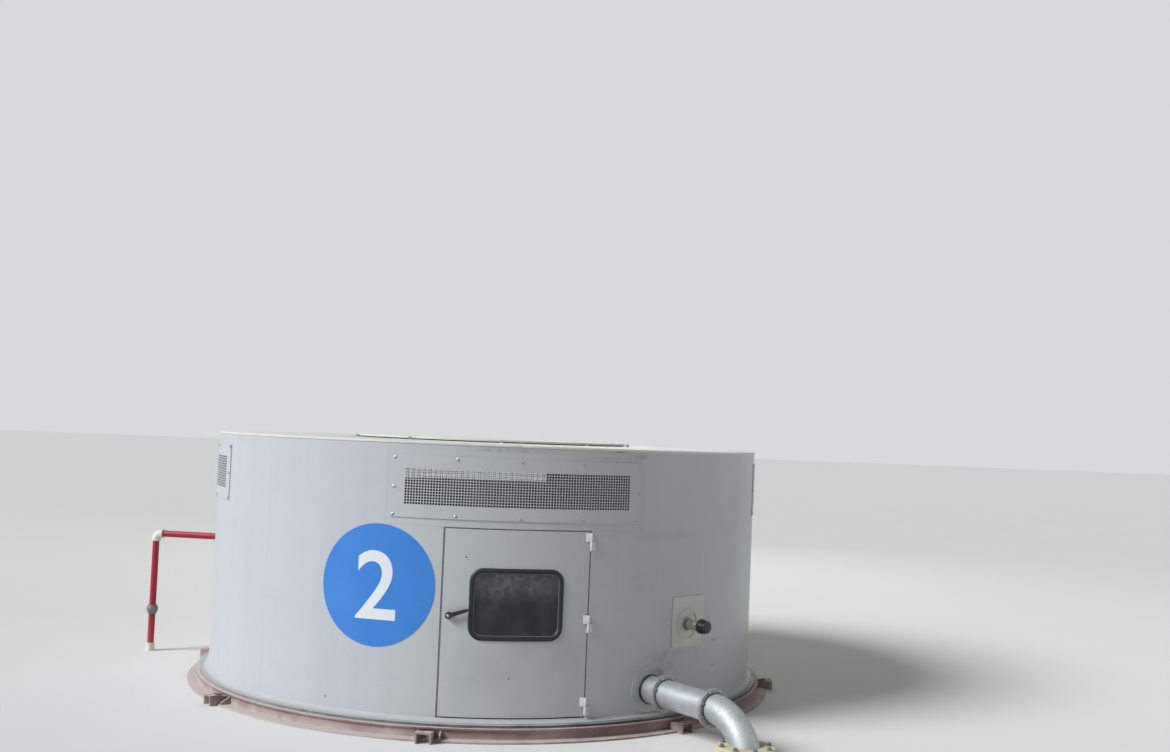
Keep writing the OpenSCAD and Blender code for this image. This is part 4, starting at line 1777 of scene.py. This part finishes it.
@dataclass
class NumberPlate(SubAssembly):
    """Round film on the wall with the plain number of the unit."""

    angle: float = -24.8
    height: float = 0.660
    radius: float = 0.279
    film: float = 0.0006
    number: str = "2"
    number_size: float = 0.44
    number_swell: float = 0.004
    strip: float = 0.02

    def build(self) -> None:
        """Builds the disc and the number on it."""
        base = DRUM.radius + DRUM.seat
        clear_selection()
        bpy.ops.mesh.primitive_circle_add(vertices=128, radius=self.radius, fill_type="NGON")
        disc = place(added("number_plate"), UPRIGHT)
        self.lay(disc, base)
        mount(disc, Finish.BLUE_FILM, Body.HOUSING)
        digit = self.digit()
        self.lay(digit, base + self.film)
        mount(digit, Finish.WHITE_FILM, Body.HOUSING)

    def digit(self) -> Object:
        """Models the number as a flat sheet, in the plane y = 0.

        Returns:
            The flat number, its middle at the origin.
        """
        clear_selection()
        bpy.ops.object.text_add()
        text = bpy.context.active_object.data
        text.body = self.number
        text.align_x = "CENTER"
        text.align_y = "CENTER"
        text.size = self.number_size
        text.offset = self.number_swell
        bpy.ops.object.convert(target="MESH")
        digit = added("unit_number")
        corners = [corner.co for corner in digit.data.vertices]
        x, y = ((min(c[axis] for c in corners) + max(c[axis] for c in corners)) / 2 for axis in (0, 1))
        return place(digit, UPRIGHT @ Matrix.Translation((-x, -y, 0)))

    def lay(self, film: Object, radius: float) -> None:
        """Cuts a flat film into strips, gives it its thickness and lays it on the wall.

        Args:
            film: the flat film.
            radius: radius of the surface that it lies on.
        """
        with editing(film, everything=True):
            bpy.ops.mesh.remove_doubles(threshold=MERGE)
        count = int(self.radius / self.strip)
        for index in range(-count, count + 1):
            with editing(film, everything=True):
                bpy.ops.mesh.bisect(plane_co=(index * self.strip, 0, 0), plane_no=(1, 0, 0))
        with editing(film, everything=True):
            bpy.ops.mesh.extrude_region_move(TRANSFORM_OT_translate={"value": (0, -self.film, 0)})
            bpy.ops.mesh.select_all(action="SELECT")
            bpy.ops.mesh.normals_make_consistent(inside=False)
        where = turn(self.angle) @ Matrix.Translation((0, 0, self.height))
        place(smooth(wrapped(film, radius)), where)


# Studio


@dataclass(frozen=True)
class Lamp:
    """Soft square lamp."""

    name: str
    place: Triple
    aim: Triple
    size: float
    power: float
    colour: Colour

    def build(self) -> None:
        """Hangs the lamp and points it at its aim."""
        clear_selection()
        way = (Vector(self.aim) - Vector(self.place)).to_track_quat("-Z", "Y")
        bpy.ops.object.light_add(type="AREA", location=self.place, rotation=way.to_euler())
        lamp = bpy.context.active_object
        lamp.name = self.name
        lamp.data.shape = "SQUARE"
        lamp.data.size = self.size
        lamp.data.energy = self.power
        lamp.data.color = self.colour


@dataclass(frozen=True)
class Sun:
    """Main light, wide and even, from the left."""

    angle: float = -74.0
    height: float = 36.0
    spread: float = 24.0
    power: float = 3.75
    colour: Colour = (0.955, 0.98, 1.03)

    def build(self) -> None:
        """Adds the sun."""
        clear_selection()
        aim = turn(self.angle) @ Vector((0, -math.cos(math.radians(self.height)), 0))
        aim.z = math.sin(math.radians(self.height))
        bpy.ops.object.light_add(type="SUN", rotation=aim.to_track_quat("Z", "Y").to_euler())
        sun = bpy.context.active_object
        sun.name = "sun_left"
        sun.data.angle = math.radians(self.spread)
        sun.data.energy = self.power
        sun.data.color = self.colour


@dataclass(frozen=True)
class Camera:
    """The photograph's camera: yaw turns it right, pitch turns it up and roll lifts its right side."""

    place: Triple = (-0.671, -7.033, 1.389)
    yaw: float = 9.673
    pitch: float = 2.673
    roll: float = 2.346
    lens: float = 37.54
    sensor: float = 36.0
    far: float = 300.0

    def build(self) -> None:
        """Adds the camera and makes it the scene's own."""
        yaw, pitch, roll = (math.radians(angle) for angle in (self.yaw, self.pitch, self.roll))
        ahead = Vector((math.sin(yaw) * math.cos(pitch), math.cos(yaw) * math.cos(pitch), math.sin(pitch)))
        level = Vector((math.cos(yaw), -math.sin(yaw), 0))
        upright = level.cross(ahead)
        right = level * math.cos(roll) + upright * math.sin(roll)
        above = -level * math.sin(roll) + upright * math.cos(roll)
        columns = Matrix((right, above, -ahead)).transposed().to_4x4()
        clear_selection()
        bpy.ops.object.camera_add()
        camera = bpy.context.active_object
        camera.name = "camera"
        camera.matrix_world = Matrix.Translation(self.place) @ columns
        camera.data.sensor_fit = "HORIZONTAL"
        camera.data.sensor_width = self.sensor
        camera.data.lens = self.lens
        camera.data.clip_end = self.far
        bpy.context.scene.camera = camera


@dataclass
class Studio:
    """Pale floor, soft lights and the camera."""

    floor_size: float = 160.0
    floor_cuts: int = 3
    floor_colour: Colour = srgb(222, 220, 216)
    floor_cloud: Colour = srgb(212, 210, 206)
    sky: Colour = srgb(216, 217, 218)
    sky_tint: Colour = (0.93, 0.96, 1.0)
    sky_light: float = 0.15
    lights: tuple[Sun | Lamp, ...] = (
        Sun(),
        Lamp(
            "lamp_right", place=(7.3, -3.0, 3.0), aim=(0.8, 0, 0.6), size=2.4, power=42,
            colour=(0.98, 1.0, 0.90),
        ),
        Lamp(
            "lamp_back", place=(2.5, 7.0, 5.0), aim=(0, 0, 0.7), size=3.5, power=90,
            colour=(1.0, 0.99, 0.97),
        ),
    )

    def build(self) -> None:
        """Sets up the floor, the world, the lights and the camera."""
        self.floor()
        self.world()
        for light in self.lights:
            light.build()
        Camera().build()
        bpy.context.scene.view_settings.view_transform = "Standard"

    def floor(self) -> None:
        """Adds the pale floor."""
        clear_selection()
        bpy.ops.mesh.primitive_plane_add(size=self.floor_size)
        floor = settle(added("studio_floor"))
        with editing(floor, everything=True):
            bpy.ops.mesh.subdivide(number_cuts=self.floor_cuts)
        graph = Graph("studio_floor")
        colour = graph.mixed(graph.patches(0.9, 4, 0.35, 0.7, 0, 0.12), self.floor_colour, self.floor_cloud)
        floor.data.materials.append(graph.dress(Base_Color=colour, Roughness=0.9))

    def world(self) -> None:
        """Lights the scene evenly and shows a pale background."""
        world = bpy.data.worlds.new("studio_world")
        bpy.context.scene.world = world
        world.use_nodes = True
        nodes, links = world.node_tree.nodes, world.node_tree.links
        nodes.clear()
        output = nodes.new("ShaderNodeOutputWorld")
        seen = nodes.new("ShaderNodeBackground")
        seen.inputs["Color"].default_value = (*self.sky, 1)
        light = nodes.new("ShaderNodeBackground")
        light.inputs["Color"].default_value = (*self.sky_tint, 1)
        light.inputs["Strength"].default_value = self.sky_light
        path = nodes.new("ShaderNodeLightPath")
        seen_by = path.outputs["Is Camera Ray"]
        for ray in ("Is Transmission Ray", "Is Glossy Ray"):
            either = nodes.new("ShaderNodeMath")
            either.operation = "MAXIMUM"
            links.new(seen_by, either.inputs[0])
            links.new(path.outputs[ray], either.inputs[1])
            seen_by = either.outputs[0]
        both = nodes.new("ShaderNodeMixShader")
        links.new(seen_by, both.inputs[0])
        links.new(light.outputs[0], both.inputs[1])
        links.new(seen.outputs[0], both.inputs[2])
        links.new(both.outputs[0], output.inputs["Surface"])


# Assembly


def main() -> None:
    """Builds the studio and the sub-assemblies in order."""
    logging.basicConfig(level=logging.INFO, format="%(name)s: %(message)s")
    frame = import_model()
    Studio().build()
    for kind in (CurbRing, DrumShell, Roof, Grilles, Door, HoseNozzle, AirPipe, WaterPipe, NumberPlate):
        LOG.info("building %s", kind.__name__)
        kind(frame).build()
    clear_selection()


if __name__ == "__main__":
    main()
